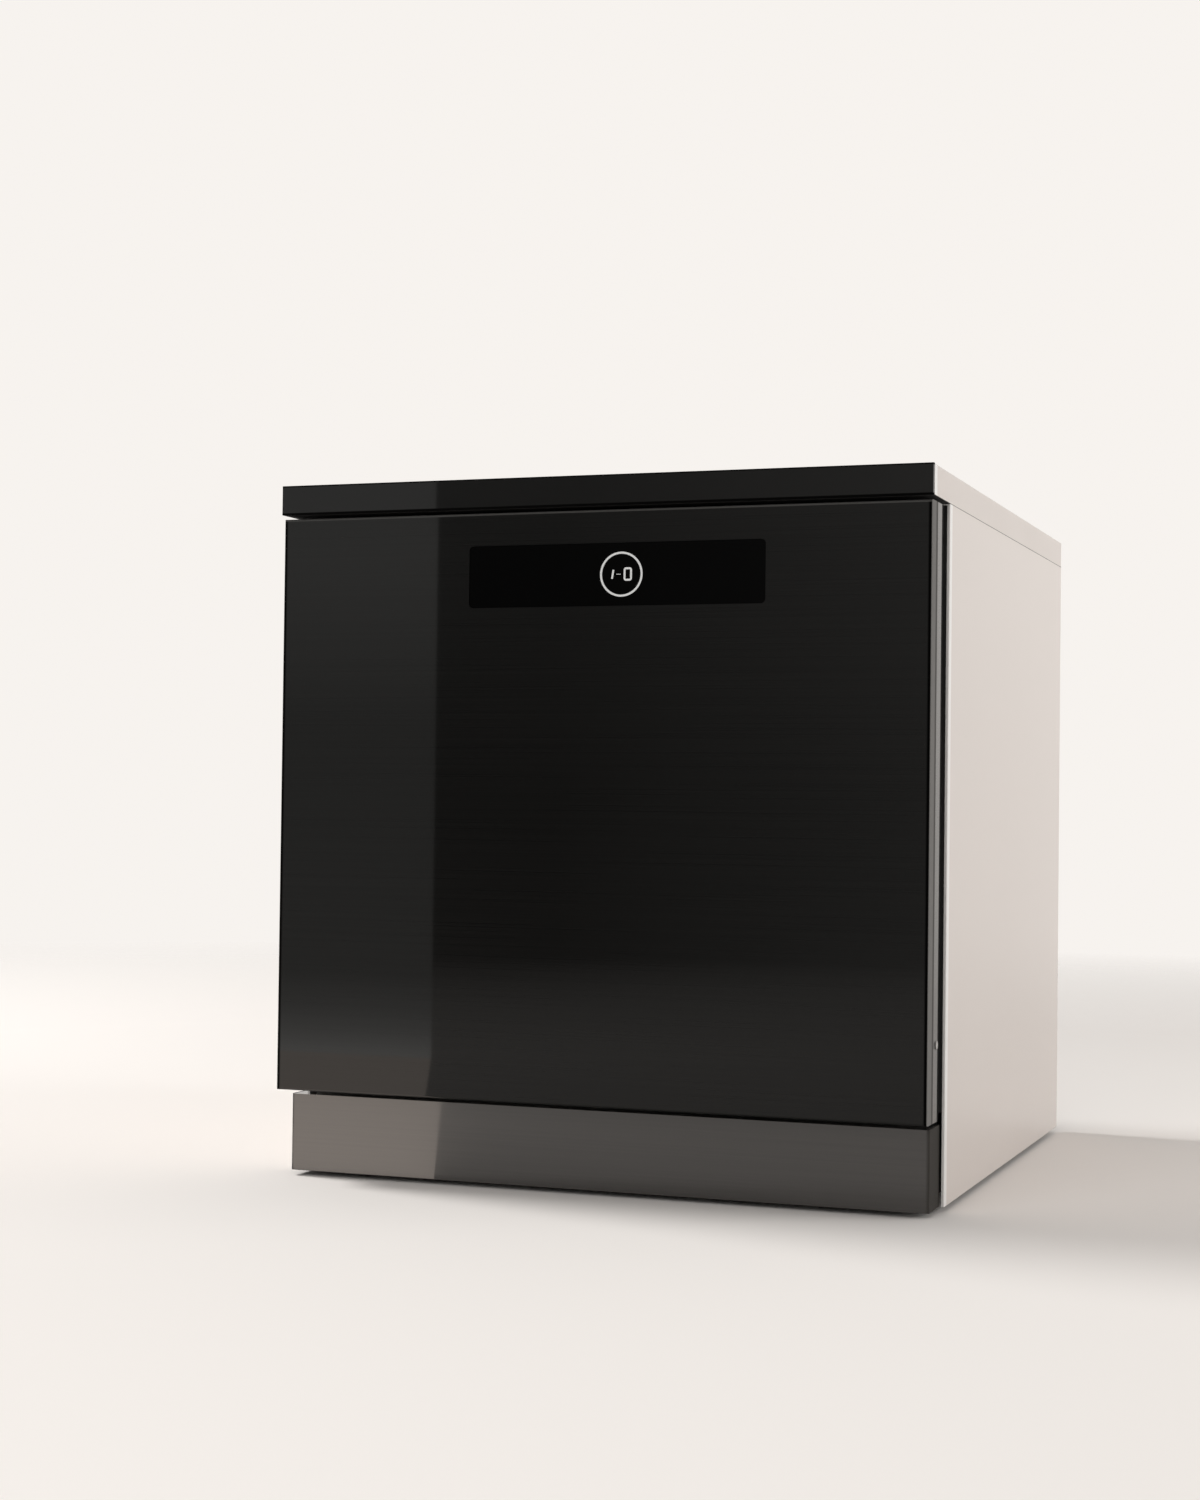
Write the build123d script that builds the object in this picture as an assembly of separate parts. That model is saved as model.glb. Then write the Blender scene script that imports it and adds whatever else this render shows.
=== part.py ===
from build123d import *
import math
import os

# Compact free-standing dishwasher, in millimetres.
# +Z is up, the front faces -Y, and the origin is on the floor under the middle of the machine.

# Overall envelope
overall_width = 598.0
overall_depth = 634.0
overall_height = 625.0
floor_gap = 5.0  # the panels' lower edges stand this far off the floor

# Sheets and walls
panel_sheet = 1.0
door_sheet = 1.2
tub_sheet = 1.2
frame_sheet = 2.0
bracket_plate = 6.0
plastic_wall = 3.0
running_gap = 0.3  # free space between a moving piece and what it passes

panel_flange = 10.0
panel_hem = 2.6  # the side panels' front edge, narrow enough to leave the black frame in view
rear_rib_reach = 190.0
rear_rib_radius = 5.0
screw_head_radius = 4.5
screw_head_height = 2.0
screw_shank_radius = 1.9
screw_shank_length = 8.0
screw_hole_clearance = 0.2

# Worktop
worktop_thickness = 26.4
worktop_trim = 6.0
worktop_overhang = 4.0  # the worktop stands this far ahead of the door
worktop_edge_radius = 1.5

# Door
door_thickness = 43.0
door_skin_depth = 20.0  # how deep the outer skin's folded edge is
door_side_gap = 1.0
door_top_gap = 3.6
door_bottom_z = 80.0
door_edge_radius = 2.0
door_cabinet_gap = 21.0  # dark gap between the door and the side panels
liner_raise = 4.0  # pressed plateau of the inner liner
liner_border = 60.0  # flat border round that plateau
door_mat_thickness = 8.0

# Display window, ring and button
window_width = 271.0
window_height = 54.5
window_x = 20.0
window_below_top = 56.2  # centre of the window below the door's top edge
window_recess = 0.8
window_glass = 3.0
window_corner_radius = 4.0
ring_x = 26.2
ring_outer_radius = 19.4
ring_line = 1.7
ring_clearance = 0.1
button_clearance = 0.2
button_travel = 1.2
button_stem_radius = 4.0
board_gap = 9.0  # from the window's rear face to the board
board_thickness = 1.6
control_housing_depth = 22.0

# Hinge
hinge_inset = 11.0  # axis behind the door's front face and above its lower edge
hinge_pin_radius = 4.0
hinge_pin_clearance = 0.05
hinge_nose_radius = 7.0
hinge_arm_plate = 5.0
hinge_arm_height = 170.0
hinge_arm_width = 24.0
hinge_slot_side = 2.0  # room on each side of the hinge in its slot
hinge_side_inset = 18.0  # hinge arms inside the cabinet's side faces
hinge_bracket_gap = 3.0  # between the hinge arm and the bracket beside it
frame_foot_z = 84.0

# Door springs
spring_eye_behind_hinge = 14.0
spring_above_hinge = 26.0
spring_slot_room = 10.0
spring_front_gap = 24.0  # from the frame to the spring's front plug
spring_coil_length = 96.0
spring_turns = 16
spring_coil_radius = 6.5
spring_wire_radius = 1.2
spring_plug = 3.0
spring_plug_radius = 7.5
spring_tail = 12.0

# Latch
strike_below_top = 5.5
strike_half = 9.0
strike_reach = 15.0

# Plinth
plinth_top_z = 74.0
plinth_setback = 24.0  # behind the door's front face
plinth_side_inset = 4.5
plinth_wall = 2.0
plinth_corner_radius = 3.0

# Tub
tub_side_gap = 29.0
tub_top_gap = 28.0
tub_rear_gap = 47.0
tub_corner_radius = 22.0
track_height = 11.0
track_width = 30.0

# Base tray and feet
tray_floor_z = 14.0
tray_top_z = 104.0
tray_side_gap = 8.0
hose_recess_depth = 37.0
foot_pad_radius = 20.0
foot_pad_height = 8.0
foot_nut_radius = 11.0
foot_stem_radius = 6.0
foot_stem_clearance = 0.05
foot_stem_length = 46.0
foot_boss_radius = 15.0
foot_boss_height = 32.0
foot_side_inset = 48.0
foot_front_setback = 34.0
foot_rear_inset = 70.0

# Sump, filter and pump
sump_half_width = 70.0
sump_front_y = -120.0
sump_floor_z = 36.0
sump_flange = 9.0
sump_flange_thickness = 2.0
filter_y = -62.0
filter_radius = 38.0
filter_top_rise = 16.0  # the filter's grip above the tub floor
arm_axis_y = 15.0
arm_spigot_radius = 9.0
arm_clearance = 0.08
pump_port_length = 11.0
pump_x = 45.0
pump_z = 62.0
volute_radius = 37.0
volute_length = 34.0
motor_radius = 33.0
motor_length = 92.0
impeller_radius = 27.0
pump_shaft_radius = 4.0
heater_radius = 15.0
heater_length = 92.0
heater_band = 1.0  # its two clamp bands stand this proud
riser_radius = 11.0
riser_wall = 2.0
riser_rear_gap = 18.0
riser_run = 30.0  # level stretch between the heater and the middle of the riser
dock_reach = 22.0
heater_drop = 13.0
feed_radius = 10.0
softener_side_inset = 139.0
softener_front_gap = 106.0  # from the tub's mouth to the middle of the salt neck
softener_half_width = 48.0
softener_tub_gap = 8.0
resin_length = 122.0
softener_neck_radius = 35.0
neck_rise = 5.0
neck_rim = 6.0
neck_seat = 3.5  # the square hole under the round neck is this much smaller each way
salt_bore = 28.0
salt_cap_radius = 33.0
inlet_side_inset = 94.0
inlet_z = 60.0
inlet_radius = 13.2
drain_sump_gap = 30.0  # from the sump's side to the middle of the drain pipe
drain_z = 68.0
drain_radius = 10.0
drain_pump_gap = 14.0
drain_pump_y = -20.0
drain_pump_z = 52.0
drain_head_length = 26.0
drain_head_radius = 25.0
drain_motor_length = 44.0
drain_motor_radius = 19.0
drain_port_length = 36.0
connector_inset = 5.0  # connectors end this far inside the rear plane
inlet_thread_length = 24.0
barb_length = 22.0
barb_radius = 10.5
power_x = -40.0
power_z = 60.0

# Racks
wire_radius = 2.0
rim_wire_radius = 2.5
weld_bite = 0.4  # crossing wires sink into each other this far
rack_side_gap = 22.0  # from the tub wall to the rack's outermost wire
lower_rack_floor_z = 162.0
lower_rack_height = 138.0
lower_rack_front_gap = 20.0
lower_rack_rear_gap = 50.0
upper_rack_drop = 120.0  # from the tub's ceiling to the upper rack's floor
upper_rack_height = 84.0
upper_rack_rear_gap = 66.0
rack_rail_gap = 14.0
rack_wire_pitch = 52.0
rack_corner_room = 30.0  # from a wall of the rack to the first wire beside it
wheel_plate_half = 30.0
wheel_radius = 17.0
wheel_width = 10.0
wheel_bore_clearance = 0.08
wheel_axle_radius = 4.0
wheel_front_offset = 80.0  # front wheels behind the rack's front edge
wheel_spacing = 290.0
wheel_wall_gap = 10.0
tine_radius = 1.8
tine_height = 72.0
tine_pitch = 26.0
tine_count = 9
rail_height = 22.0
rail_width = 14.0
rail_drop = 66.0  # from the tub's ceiling to the middle of the rails
rail_lip = 1.6
glide_half_length = 22.0
glide_front_inset = 70.0
glide_rear_inset = 60.0
glide_side_gap = 2.0

# Spray arms
arm_riser_gap = 12.0  # the lower arm's tip passes the riser at this distance
upper_arm_trim = 18.0  # the upper arm is this much shorter
arm_height = 13.0
arm_root_width = 46.0
arm_tip_width = 28.0
arm_hub_radius = 24.0
nozzles_per_side = 5
arm_room = 5.0  # between an arm and what it turns over or under

# Detergent dispenser
dispenser_width = 172.0
dispenser_height = 150.0
dispenser_depth = 30.0
dispenser_above_hinge = 240.0
dispenser_flange = 5.0
cup_size = 62.0
cup_depth = 22.0
cup_side_margin = 12.0
cup_base_margin = 10.0
dispenser_rim = 2.0  # how far its flange stands off the liner
lid_thickness = 3.0
lid_margin = 2.0
lid_travel = 58.0
cap_radius = 20.0
cap_side_margin = 42.0
cap_drop = 20.0

# Cutlery basket
basket_side_gap = 26.4
basket_width = 120.0
basket_front_gap = 60.0
basket_length = 240.0
basket_height = 112.0
basket_wall = 2.5
basket_cells = (2, 4)

# Levels and planes that follow from the values above
half_width = overall_width / 2
front_y = -overall_depth / 2
rear_y = overall_depth / 2
worktop_underside = overall_height - worktop_thickness
door_front_y = front_y + worktop_overhang
door_rear_y = door_front_y + door_thickness
door_skin_rear_y = door_front_y + door_skin_depth
door_top_z = worktop_underside - door_top_gap
door_half = half_width - door_side_gap
cabinet_front_y = door_rear_y + door_cabinet_gap
hinge_y = door_front_y + hinge_inset
hinge_z = door_bottom_z + hinge_inset
liner_open_z = hinge_z + door_rear_y - hinge_y  # liner level when the door lies open
track_z = liner_open_z + running_gap
tub_floor_z = track_z - track_height
tub_ceiling_z = worktop_underside - tub_top_gap
tub_half = half_width - tub_side_gap
frame_front_y = cabinet_front_y + panel_sheet
frame_rear_y = frame_front_y + frame_sheet
tub_front_y = frame_rear_y
tub_rear_y = rear_y - tub_rear_gap
riser_y = tub_rear_y - riser_rear_gap
heater_rear_y = riser_y - riser_run
volute_rear_y = heater_rear_y - heater_length
volute_front_y = volute_rear_y - volute_length
sump_rear_y = volute_front_y - pump_port_length
lower_arm_radius = riser_y - riser_radius - arm_riser_gap - arm_axis_y
upper_arm_radius = lower_arm_radius - upper_arm_trim
tray_half = half_width - tray_side_gap
softener_x = softener_side_inset - half_width
softener_y = tub_front_y + softener_front_gap
inlet_x = inlet_side_inset - half_width
drain_x = sump_half_width + drain_sump_gap
drain_port_y = drain_pump_y + drain_port_length
upper_rack_floor_z = tub_ceiling_z - upper_rack_drop
rail_z = tub_ceiling_z - rail_drop
tray_rear_y = rear_y - hose_recess_depth
tray_inside_z = tray_floor_z + plastic_wall
window_z = door_top_z - window_below_top
window_front_y = door_front_y + window_recess
window_rear_y = window_front_y + window_glass
board_front_y = window_rear_y + board_gap
housing_rear_y = window_rear_y + control_housing_depth
panel_inside = half_width - panel_sheet
rear_panel_y = (rear_y - screw_head_height - panel_sheet, rear_y - screw_head_height)
plateau_y = door_rear_y + liner_raise
strike_z = door_top_z - strike_below_top
dispenser_z = hinge_z + dispenser_above_hinge
cup_left_x = cup_side_margin - dispenser_width / 2
cup_base_z = dispenser_z - dispenser_height / 2 + cup_base_margin
cup_x = (cup_left_x, cup_left_x + cup_size)
cup_z = (cup_base_z, cup_base_z + cup_size)
flange_y = (plateau_y, plateau_y + dispenser_rim)
lid_y = (flange_y[1] + running_gap, flange_y[1] + running_gap + lid_thickness)
cap_place = (dispenser_width / 2 - cap_side_margin, dispenser_z - cap_drop)

# Hinge stations across the machine, from the outer side inwards
hinge_arm_x = (half_width - hinge_side_inset, half_width - hinge_side_inset + hinge_arm_plate)
bracket_x = (hinge_arm_x[0] - hinge_bracket_gap - bracket_plate, hinge_arm_x[0] - hinge_bracket_gap)
hinge_slot_x = (bracket_x[0] - hinge_slot_side, hinge_arm_x[1] + hinge_slot_side)
spring_x = (hinge_arm_x[0] + hinge_arm_x[1]) / 2
spring_eye_y = hinge_y + spring_eye_behind_hinge
spring_z = hinge_z + spring_above_hinge
hinge_slot_top_z = spring_z + spring_slot_room
spring_front_y = frame_rear_y + spring_front_gap
spring_span = spring_coil_length + 2 * (spring_wire_radius + spring_plug)
spring_rear_y = spring_front_y + spring_span + spring_tail

# Rack stations
rack_front_y = tub_front_y + lower_rack_front_gap
lower_rack_depth = tub_rear_y - lower_rack_rear_gap - rack_front_y
upper_rack_depth = tub_rear_y - upper_rack_rear_gap - rack_front_y
basket_front_y = rack_front_y + basket_front_gap
basket_y = (basket_front_y, basket_front_y + basket_length)
lower_half = tub_half - rack_side_gap - 3 * wire_radius + weld_bite
upper_half = tub_half - rail_width - rack_rail_gap
basket_outer_x = lower_half - basket_side_gap
basket_x = (basket_outer_x - basket_width, basket_outer_x)
wheel_z = track_z + running_gap + wheel_radius
wheel_x = (tub_half - wheel_width - wheel_wall_gap, tub_half - wheel_wall_gap)
wheel_y = (rack_front_y + wheel_front_offset, rack_front_y + wheel_front_offset + wheel_spacing)
long_wire_lift = 2 * wire_radius - weld_bite
rim_step = 2 * rim_wire_radius - weld_bite
end_reach = long_wire_lift + rim_wire_radius + 2.0  # how far rims and stays run past the corner
lower_grid_top = lower_rack_floor_z + long_wire_lift + wire_radius
feed_z = upper_rack_floor_z - wire_radius - feed_radius
lower_arm_z = tub_floor_z + filter_top_rise + arm_room
upper_arm_z = feed_z - feed_radius - arm_room - arm_height
heater_z = pump_z + volute_radius - heater_drop


def block(x, y, z):
    """Box between two x, two y and two z values."""
    size = [span[1] - span[0] for span in (x, y, z)]
    centre = [(span[0] + span[1]) / 2 for span in (x, y, z)]
    return Pos(*centre) * Box(*size)


def rod(start, end, radius):
    """Round bar from one point to another."""
    start, end = Vector(*start), Vector(*end)
    lower = (Align.CENTER, Align.CENTER, Align.MIN)
    return Plane(origin=start, z_dir=end - start) * Cylinder(radius, (end - start).length, align=lower)


def pipe(start, end, outer, inner):
    return rod(start, end, outer) - rod(start, end, inner)


def both_sides(shape):
    """The shape and its mirror image on the other side of the machine, as two solids."""
    return Compound(children=[shape, mirror(shape, about=Plane.YZ)])


def cut_up(shape, zones):
    """The shape as touching solids, divided where the zones meet."""
    solids = []
    for zone in zones:
        solids += (shape & zone).solids()
    return Compound(children=solids)


def along_y(sketch, start, end):
    """Sketch drawn in x and z, extruded from one y to another."""
    return extrude(Plane(origin=(0, start, 0), x_dir=(1, 0, 0), z_dir=(0, 1, 0)) * sketch, end - start)


def plate_xz(x, z, y, radius):
    """Rounded plate standing upright, drawn in x and z."""
    plate = block(x, y, z)
    return fillet(plate.edges().filter_by(Axis.Y), radius)


# Casing

def worktop_board():
    board = block(
        (-half_width, half_width),
        (front_y + worktop_trim, rear_y),
        (worktop_underside, overall_height),
    )
    rim = board.faces().sort_by(Axis.Z)[-1].edges() - board.faces().sort_by(Axis.Y)[0].edges()
    return fillet(rim, worktop_edge_radius)


def worktop_front_trim():
    trim = block(
        (-half_width, half_width),
        (front_y, front_y + worktop_trim),
        (worktop_underside, overall_height),
    )
    return fillet(trim.faces().sort_by(Axis.Y)[0].edges(), worktop_edge_radius)


def rear_screw_places():
    """Screw stations on the right rear flange."""
    x = panel_inside - panel_flange / 2
    low, high = tray_top_z + 30, worktop_underside - 30
    return [(x, low + share * (high - low)) for share in (0, 1 / 3, 2 / 3, 1)]


def screw_hole(x, z):
    radius = screw_shank_radius + screw_hole_clearance
    return rod((x, rear_y - 20, z), (x, rear_y + 1, z), radius)


def side_panel():
    """Right side panel with a narrow hem at the front and flanges folded inwards at the rear and top."""
    y = (cabinet_front_y, rear_y)
    z = (floor_gap, worktop_underside)
    flange_x = (panel_inside - panel_flange, half_width)
    flange_rear_y = rear_panel_y[0]
    panel = block((panel_inside, half_width), y, z)
    panel += block((half_width - panel_hem, half_width), (y[0], y[0] + panel_sheet), z)
    panel += block(flange_x, (flange_rear_y - panel_sheet, flange_rear_y), (tray_top_z, z[1]))
    panel += block(flange_x, (y[0], flange_rear_y), (z[1] - panel_sheet, z[1]))
    for x, height in rear_screw_places():
        panel -= screw_hole(x, height)
    outer_front = panel.edges().filter_by(Axis.Z).group_by(Axis.Y)[0].sort_by(Axis.X)[-1]
    return fillet(outer_front, panel_sheet)


def rear_panel():
    z = (tray_top_z, worktop_underside - panel_sheet)
    sheet = block((-panel_inside, panel_inside), rear_panel_y, z)
    for share in (0.25, 0.5, 0.75):
        height = z[0] + share * (z[1] - z[0])
        middle = rear_panel_y[1]
        bar = rod((-rear_rib_reach, middle, height), (rear_rib_reach, middle, height), rear_rib_radius)
        sheet += bar & block(
            (-rear_rib_reach, rear_rib_reach),
            (middle - rear_rib_radius, middle),
            (height - rear_rib_radius, height + rear_rib_radius),
        )
    for x, height in rear_screw_places():
        sheet -= screw_hole(x, height)
        sheet -= screw_hole(-x, height)
    return sheet


def cabinet_screws():
    """Eight screws that hold the rear panel to the side panels."""
    screws = []
    for x, z in rear_screw_places():
        seat = rear_panel_y[1]
        screw = rod((x, seat, z), (x, rear_y, z), screw_head_radius)
        screw += rod((x, seat - screw_shank_length, z), (x, seat, z), screw_shank_radius)
        screws += [screw, mirror(screw, about=Plane.YZ)]
    return Compound(children=screws)


def plinth():
    outer_half = half_width - plinth_side_inset
    y = (door_front_y + plinth_setback, cabinet_front_y - running_gap)
    z = (floor_gap, plinth_top_z)
    shell = block((-outer_half, outer_half), y, z)
    shell = fillet(shell.edges().filter_by(Axis.Z).group_by(Axis.Y)[0], plinth_corner_radius)
    inner_half = outer_half - plinth_wall
    inside_y = (y[0] + plinth_wall, y[1] + 1)
    return shell - block((-inner_half, inner_half), inside_y, (z[0] - 1, z[1] - plinth_wall))


def front_frame():
    """Black steel frame round the tub's mouth, which the hinges and latch are fixed to."""
    y = (frame_front_y, frame_rear_y)
    through = (y[0] - 1, y[1] + 1)
    frame = block((-panel_inside, panel_inside), y, (frame_foot_z, worktop_underside - panel_sheet))
    frame -= block((-tub_half, tub_half), through, (tub_floor_z, tub_ceiling_z))
    slot = block((spring_x - 4, spring_x + 4), through, (spring_z - 6, spring_z + 6))
    return frame - slot - mirror(slot, about=Plane.YZ)


def foot_places():
    x = half_width - foot_side_inset
    return {
        "foot_front_left": (-x, cabinet_front_y + foot_front_setback),
        "foot_front_right": (x, cabinet_front_y + foot_front_setback),
        "foot_rear_left": (-x, rear_y - foot_rear_inset),
        "foot_rear_right": (x, rear_y - foot_rear_inset),
    }


def foot(x, y):
    """Screw-in foot, seated against the base tray."""
    pad = rod((x, y, 0), (x, y, foot_pad_height), foot_pad_radius)
    pad = chamfer(pad.faces().sort_by(Axis.Z)[-1].edges(), foot_pad_height / 3)
    hexagon = Pos(x, y, foot_pad_height) * RegularPolygon(foot_nut_radius, 6)
    nut = extrude(hexagon, tray_floor_z - foot_pad_height)
    stem = rod((x, y, tray_floor_z), (x, y, tray_floor_z + foot_stem_length), foot_stem_radius)
    return pad + nut + stem


def tray_floor(y):
    floor = block((-tray_half, tray_half), y, (tray_floor_z, tray_inside_z))
    for x, place_y in foot_places().values():
        bore = foot_stem_radius + foot_stem_clearance
        floor -= rod((x, place_y, 0), (x, place_y, tray_inside_z + 1), bore)
    return floor


def tray_ends(y):
    """Front wall and rear wall, the rear one cut for the connectors."""
    z = (tray_inside_z, tray_top_z)
    front = block((-tray_half, tray_half), (y[0], y[0] + plastic_wall), z)
    rear = block((-tray_half, tray_half), (y[1] - plastic_wall, y[1]), z)
    reach = (y[1] - 10, y[1] + 1)
    rear -= rod((inlet_x, reach[0], inlet_z), (inlet_x, reach[1], inlet_z), inlet_radius + running_gap)
    rear -= rod((drain_x, reach[0], drain_z), (drain_x, reach[1], drain_z), barb_radius + running_gap)
    return [front, rear - block((power_x - 14, power_x + 14), reach, (power_z - 10, power_z + 10))]


def tray_side(y):
    """Right wall with its lugs to the side panel and the anchor of the door spring."""
    inside = (y[0] + plastic_wall, y[1] - plastic_wall)
    wall = block((tray_half - plastic_wall, tray_half), inside, (tray_inside_z, tray_top_z))
    for place_y in (y[0] + 90, y[1] - 90):
        wall += block((tray_half - 1, panel_inside), (place_y - 12, place_y + 12), (40, 80))
    anchor_y = (spring_rear_y, spring_rear_y + 8)
    return wall + block((spring_x - 5, tray_half), anchor_y, (tray_top_z - 40, spring_z + 7))


def base_tray():
    """Moulded base that carries the tub, the feet and the water parts."""
    y = (frame_rear_y, tray_rear_y)
    solids = [tray_floor(y), *tray_ends(y), *both_sides(tray_side(y)).solids()]
    for x, place_y in foot_places().values():
        low, top = (x, place_y, tray_inside_z), (x, place_y, tray_floor_z + foot_boss_height)
        solids.append(pipe(low, top, foot_boss_radius, foot_stem_radius + foot_stem_clearance))
    tub_underside = tub_floor_z - tub_sheet
    post_x, post_y = tub_half - 55, (tub_front_y + 45, tub_rear_y - 65)
    plinth_inner_y = door_front_y + plinth_setback + plinth_wall
    for side in (-1, 1):
        for place_y in post_y:
            x = side * post_x
            solids.append(block((x - 9, x + 9), (place_y - 9, place_y + 9), (tray_inside_z, tub_underside)))
        x = side * 0.6 * half_width
        solids.append(block((x - 12, x + 12), (plinth_inner_y, y[0]), (30, 54)))
    return Compound(children=solids)


def door_springs():
    """Two extension springs beside the tub, each pulling the door's hinge arm by a cord."""
    solids = []
    for side in (-1, 1):
        x = side * spring_x
        start = spring_front_y + spring_plug + spring_wire_radius
        end = start + spring_coil_length
        path = Helix(spring_coil_length / spring_turns, spring_coil_length, spring_coil_radius,
                     center=(x, start, spring_z), direction=(0, 1, 0))
        solids.append(sweep(Plane(origin=path @ 0, z_dir=path % 0) * Circle(spring_wire_radius), path=path))
        front = start - spring_wire_radius
        cord = rod((x, spring_eye_y, spring_z), (x, front, spring_z), spring_wire_radius)
        plug = rod((x, front - spring_plug, spring_z), (x, front, spring_z), spring_plug_radius)
        solids.append(cord + plug)
        back = end + spring_wire_radius
        plug = rod((x, back, spring_z), (x, back + spring_plug, spring_z), spring_plug_radius)
        solids.append(plug + rod((x, back, spring_z), (x, spring_rear_y, spring_z), spring_wire_radius))
    return Compound(children=solids)


# Wash chamber

def tub_zones():
    """Space round the tub: its walls, bends and tracks, and a floor divided at the salt neck."""
    far = overall_width
    bend_x = tub_half - tub_corner_radius
    track_edge = tub_half - track_width
    bend_z = tub_ceiling_z - tub_corner_radius
    y = (-far, tub_rear_y - tub_corner_radius)
    zones = [block((-far, far), (y[1], far), (0, 2 * far))]
    for across in ((-track_edge, softener_x), (softener_x, track_edge)):
        for along in ((y[0], softener_y), (softener_y, y[1])):
            zones.append(block(across, along, (0, track_z)))
    zones.append(block((-bend_x, bend_x), y, (bend_z, 2 * far)))
    for low, high in ((track_edge, far), (-far, -track_edge)):
        zones.append(block((low, high), y, (0, track_z)))
    for low, high in ((bend_x, far), (-far, -bend_x)):
        zones.append(block((low, high), y, (track_z, bend_z)))
        zones.append(block((low, high), y, (bend_z, 2 * far)))
    return zones


def tub():
    """Stainless tub, open at the front, with wheel tracks along its lower corners."""
    y = (tub_front_y, tub_rear_y)
    hollow = block((-tub_half, tub_half), y, (tub_floor_z, tub_ceiling_z))
    rounded = hollow.edges().filter_by(Axis.Y) + hollow.faces().sort_by(Axis.Y)[-1].edges()
    hollow = fillet(rounded, tub_corner_radius)
    outside = tub_half + 2 * tub_sheet
    kept = block((-outside, outside), (y[0], y[1] + 2 * tub_sheet), (0, overall_height))
    shell = (offset(hollow, tub_sheet) & kept) - hollow
    track_rear_y = y[1] - tub_corner_radius
    track_x = (tub_half - track_width, tub_half)
    track = block(track_x, (y[0], track_rear_y), (tub_floor_z, track_z))
    track -= block(
        (track_x[0] + tub_sheet, track_x[1]),
        (y[0] - 1, track_rear_y - tub_sheet),
        (tub_floor_z, track_z - tub_sheet),
    )
    track = track & hollow
    shell = shell + track + mirror(track, about=Plane.YZ)
    shell -= sump_outline(0).moved(Location((0, 0, tub_floor_z - 10)))
    shell -= rod((0, riser_y, tub_floor_z - 10), (0, riser_y, tub_floor_z + 10), riser_radius + running_gap)
    neck = softener_neck_radius + running_gap
    shell -= rod((softener_x, softener_y, 0), (softener_x, softener_y, track_z), neck)
    return cut_up(shell, tub_zones())


def sump_outline(grow):
    """Rounded plan of the sump, 20 mm tall from z = 0."""
    width = 2 * (sump_half_width + grow)
    length = sump_rear_y - sump_front_y + 2 * grow
    middle = (sump_front_y + sump_rear_y) / 2
    return extrude(Pos(0, middle) * RectangleRounded(width, length, sump_half_width - 25 + grow), 20)


def sump():
    """Basin under the tub floor with the lower arm's spigot and the two pump ports."""
    middle = (sump_front_y + sump_rear_y) / 2
    length = sump_rear_y - sump_front_y
    corner = sump_half_width - 25
    depth = tub_floor_z - sump_floor_z + sump_flange_thickness
    inset = 1.0
    outer = RectangleRounded(2 * (sump_half_width - inset), length - 2 * inset, corner - inset)
    wall = inset + plastic_wall
    inner = RectangleRounded(2 * (sump_half_width - wall), length - 2 * wall, corner - wall)
    grow = sump_flange
    rim = RectangleRounded(2 * (sump_half_width + grow), length + 2 * grow, corner + grow)
    basin = extrude(Pos(0, middle, sump_floor_z) * outer, depth)
    basin += extrude(Pos(0, middle, tub_floor_z) * rim, sump_flange_thickness)
    basin -= extrude(Pos(0, middle, sump_floor_z + plastic_wall) * inner, depth)
    rear_wall = sump_rear_y - wall
    basin += rod((pump_x, rear_wall, pump_z), (pump_x, volute_front_y, pump_z), 14)
    basin -= rod((pump_x, rear_wall - 5, pump_z), (pump_x, volute_front_y + 1, pump_z), 11)
    side_wall = sump_half_width - wall
    basin += rod((side_wall, -20, 52), (sump_half_width + 14, -20, 52), 13)
    basin -= rod((side_wall - 5, -20, 52), (sump_half_width + 15, -20, 52), 10)
    top = lower_arm_z
    basin += rod((0, arm_axis_y, sump_floor_z), (0, arm_axis_y, top), 14)
    spigot = arm_spigot_radius - arm_clearance
    basin += rod((0, arm_axis_y, top), (0, arm_axis_y, top + arm_height - 1), spigot)
    return basin - rod((0, arm_axis_y, sump_floor_z + 8), (0, arm_axis_y, top + arm_height), 5.5)


def filter_plate():
    """Perforated stainless plate over the sump."""
    middle = (sump_front_y + sump_rear_y) / 2
    length = sump_rear_y - sump_front_y
    corner = sump_half_width - 25
    z = tub_floor_z + sump_flange_thickness
    plan = RectangleRounded(2 * sump_half_width + 6, length + 6, corner + 3)
    plate = extrude(Pos(0, middle, z) * plan, 1.0)
    plate -= rod((0, filter_y, z - 1), (0, filter_y, z + 2), filter_radius + 0.4)
    plate -= rod((0, arm_axis_y, z - 1), (0, arm_axis_y, z + 2), 14 + running_gap)
    holes = []
    for row in range(-4, 5):
        for line in range(14):
            x = 13.0 * row
            y = sump_front_y + 14 + 13.5 * line
            near_filter = math.hypot(x, y - filter_y) < filter_radius + 6
            near_arm = math.hypot(x, y - arm_axis_y) < 24
            if not near_filter and not near_arm:
                holes.append(rod((x, y, z - 1), (x, y, z + 2), 2.2))
    return plate - holes


def fine_filter():
    """Round lift-out filter with a grip, turned a quarter to unlock."""
    z = tub_floor_z + sump_flange_thickness + 1
    low = sump_floor_z + plastic_wall + 4
    body = pipe((0, filter_y, low), (0, filter_y, z), filter_radius, filter_radius - 2.5)
    body += rod((0, filter_y, low), (0, filter_y, low + 2.5), filter_radius)
    body += pipe((0, filter_y, z), (0, filter_y, z + 3), filter_radius + 5, filter_radius - 10)
    top = tub_floor_z + filter_top_rise
    grip = filter_radius - 2
    body += block((-grip, grip), (filter_y - 4, filter_y + 4), (z, top))
    return body


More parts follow.
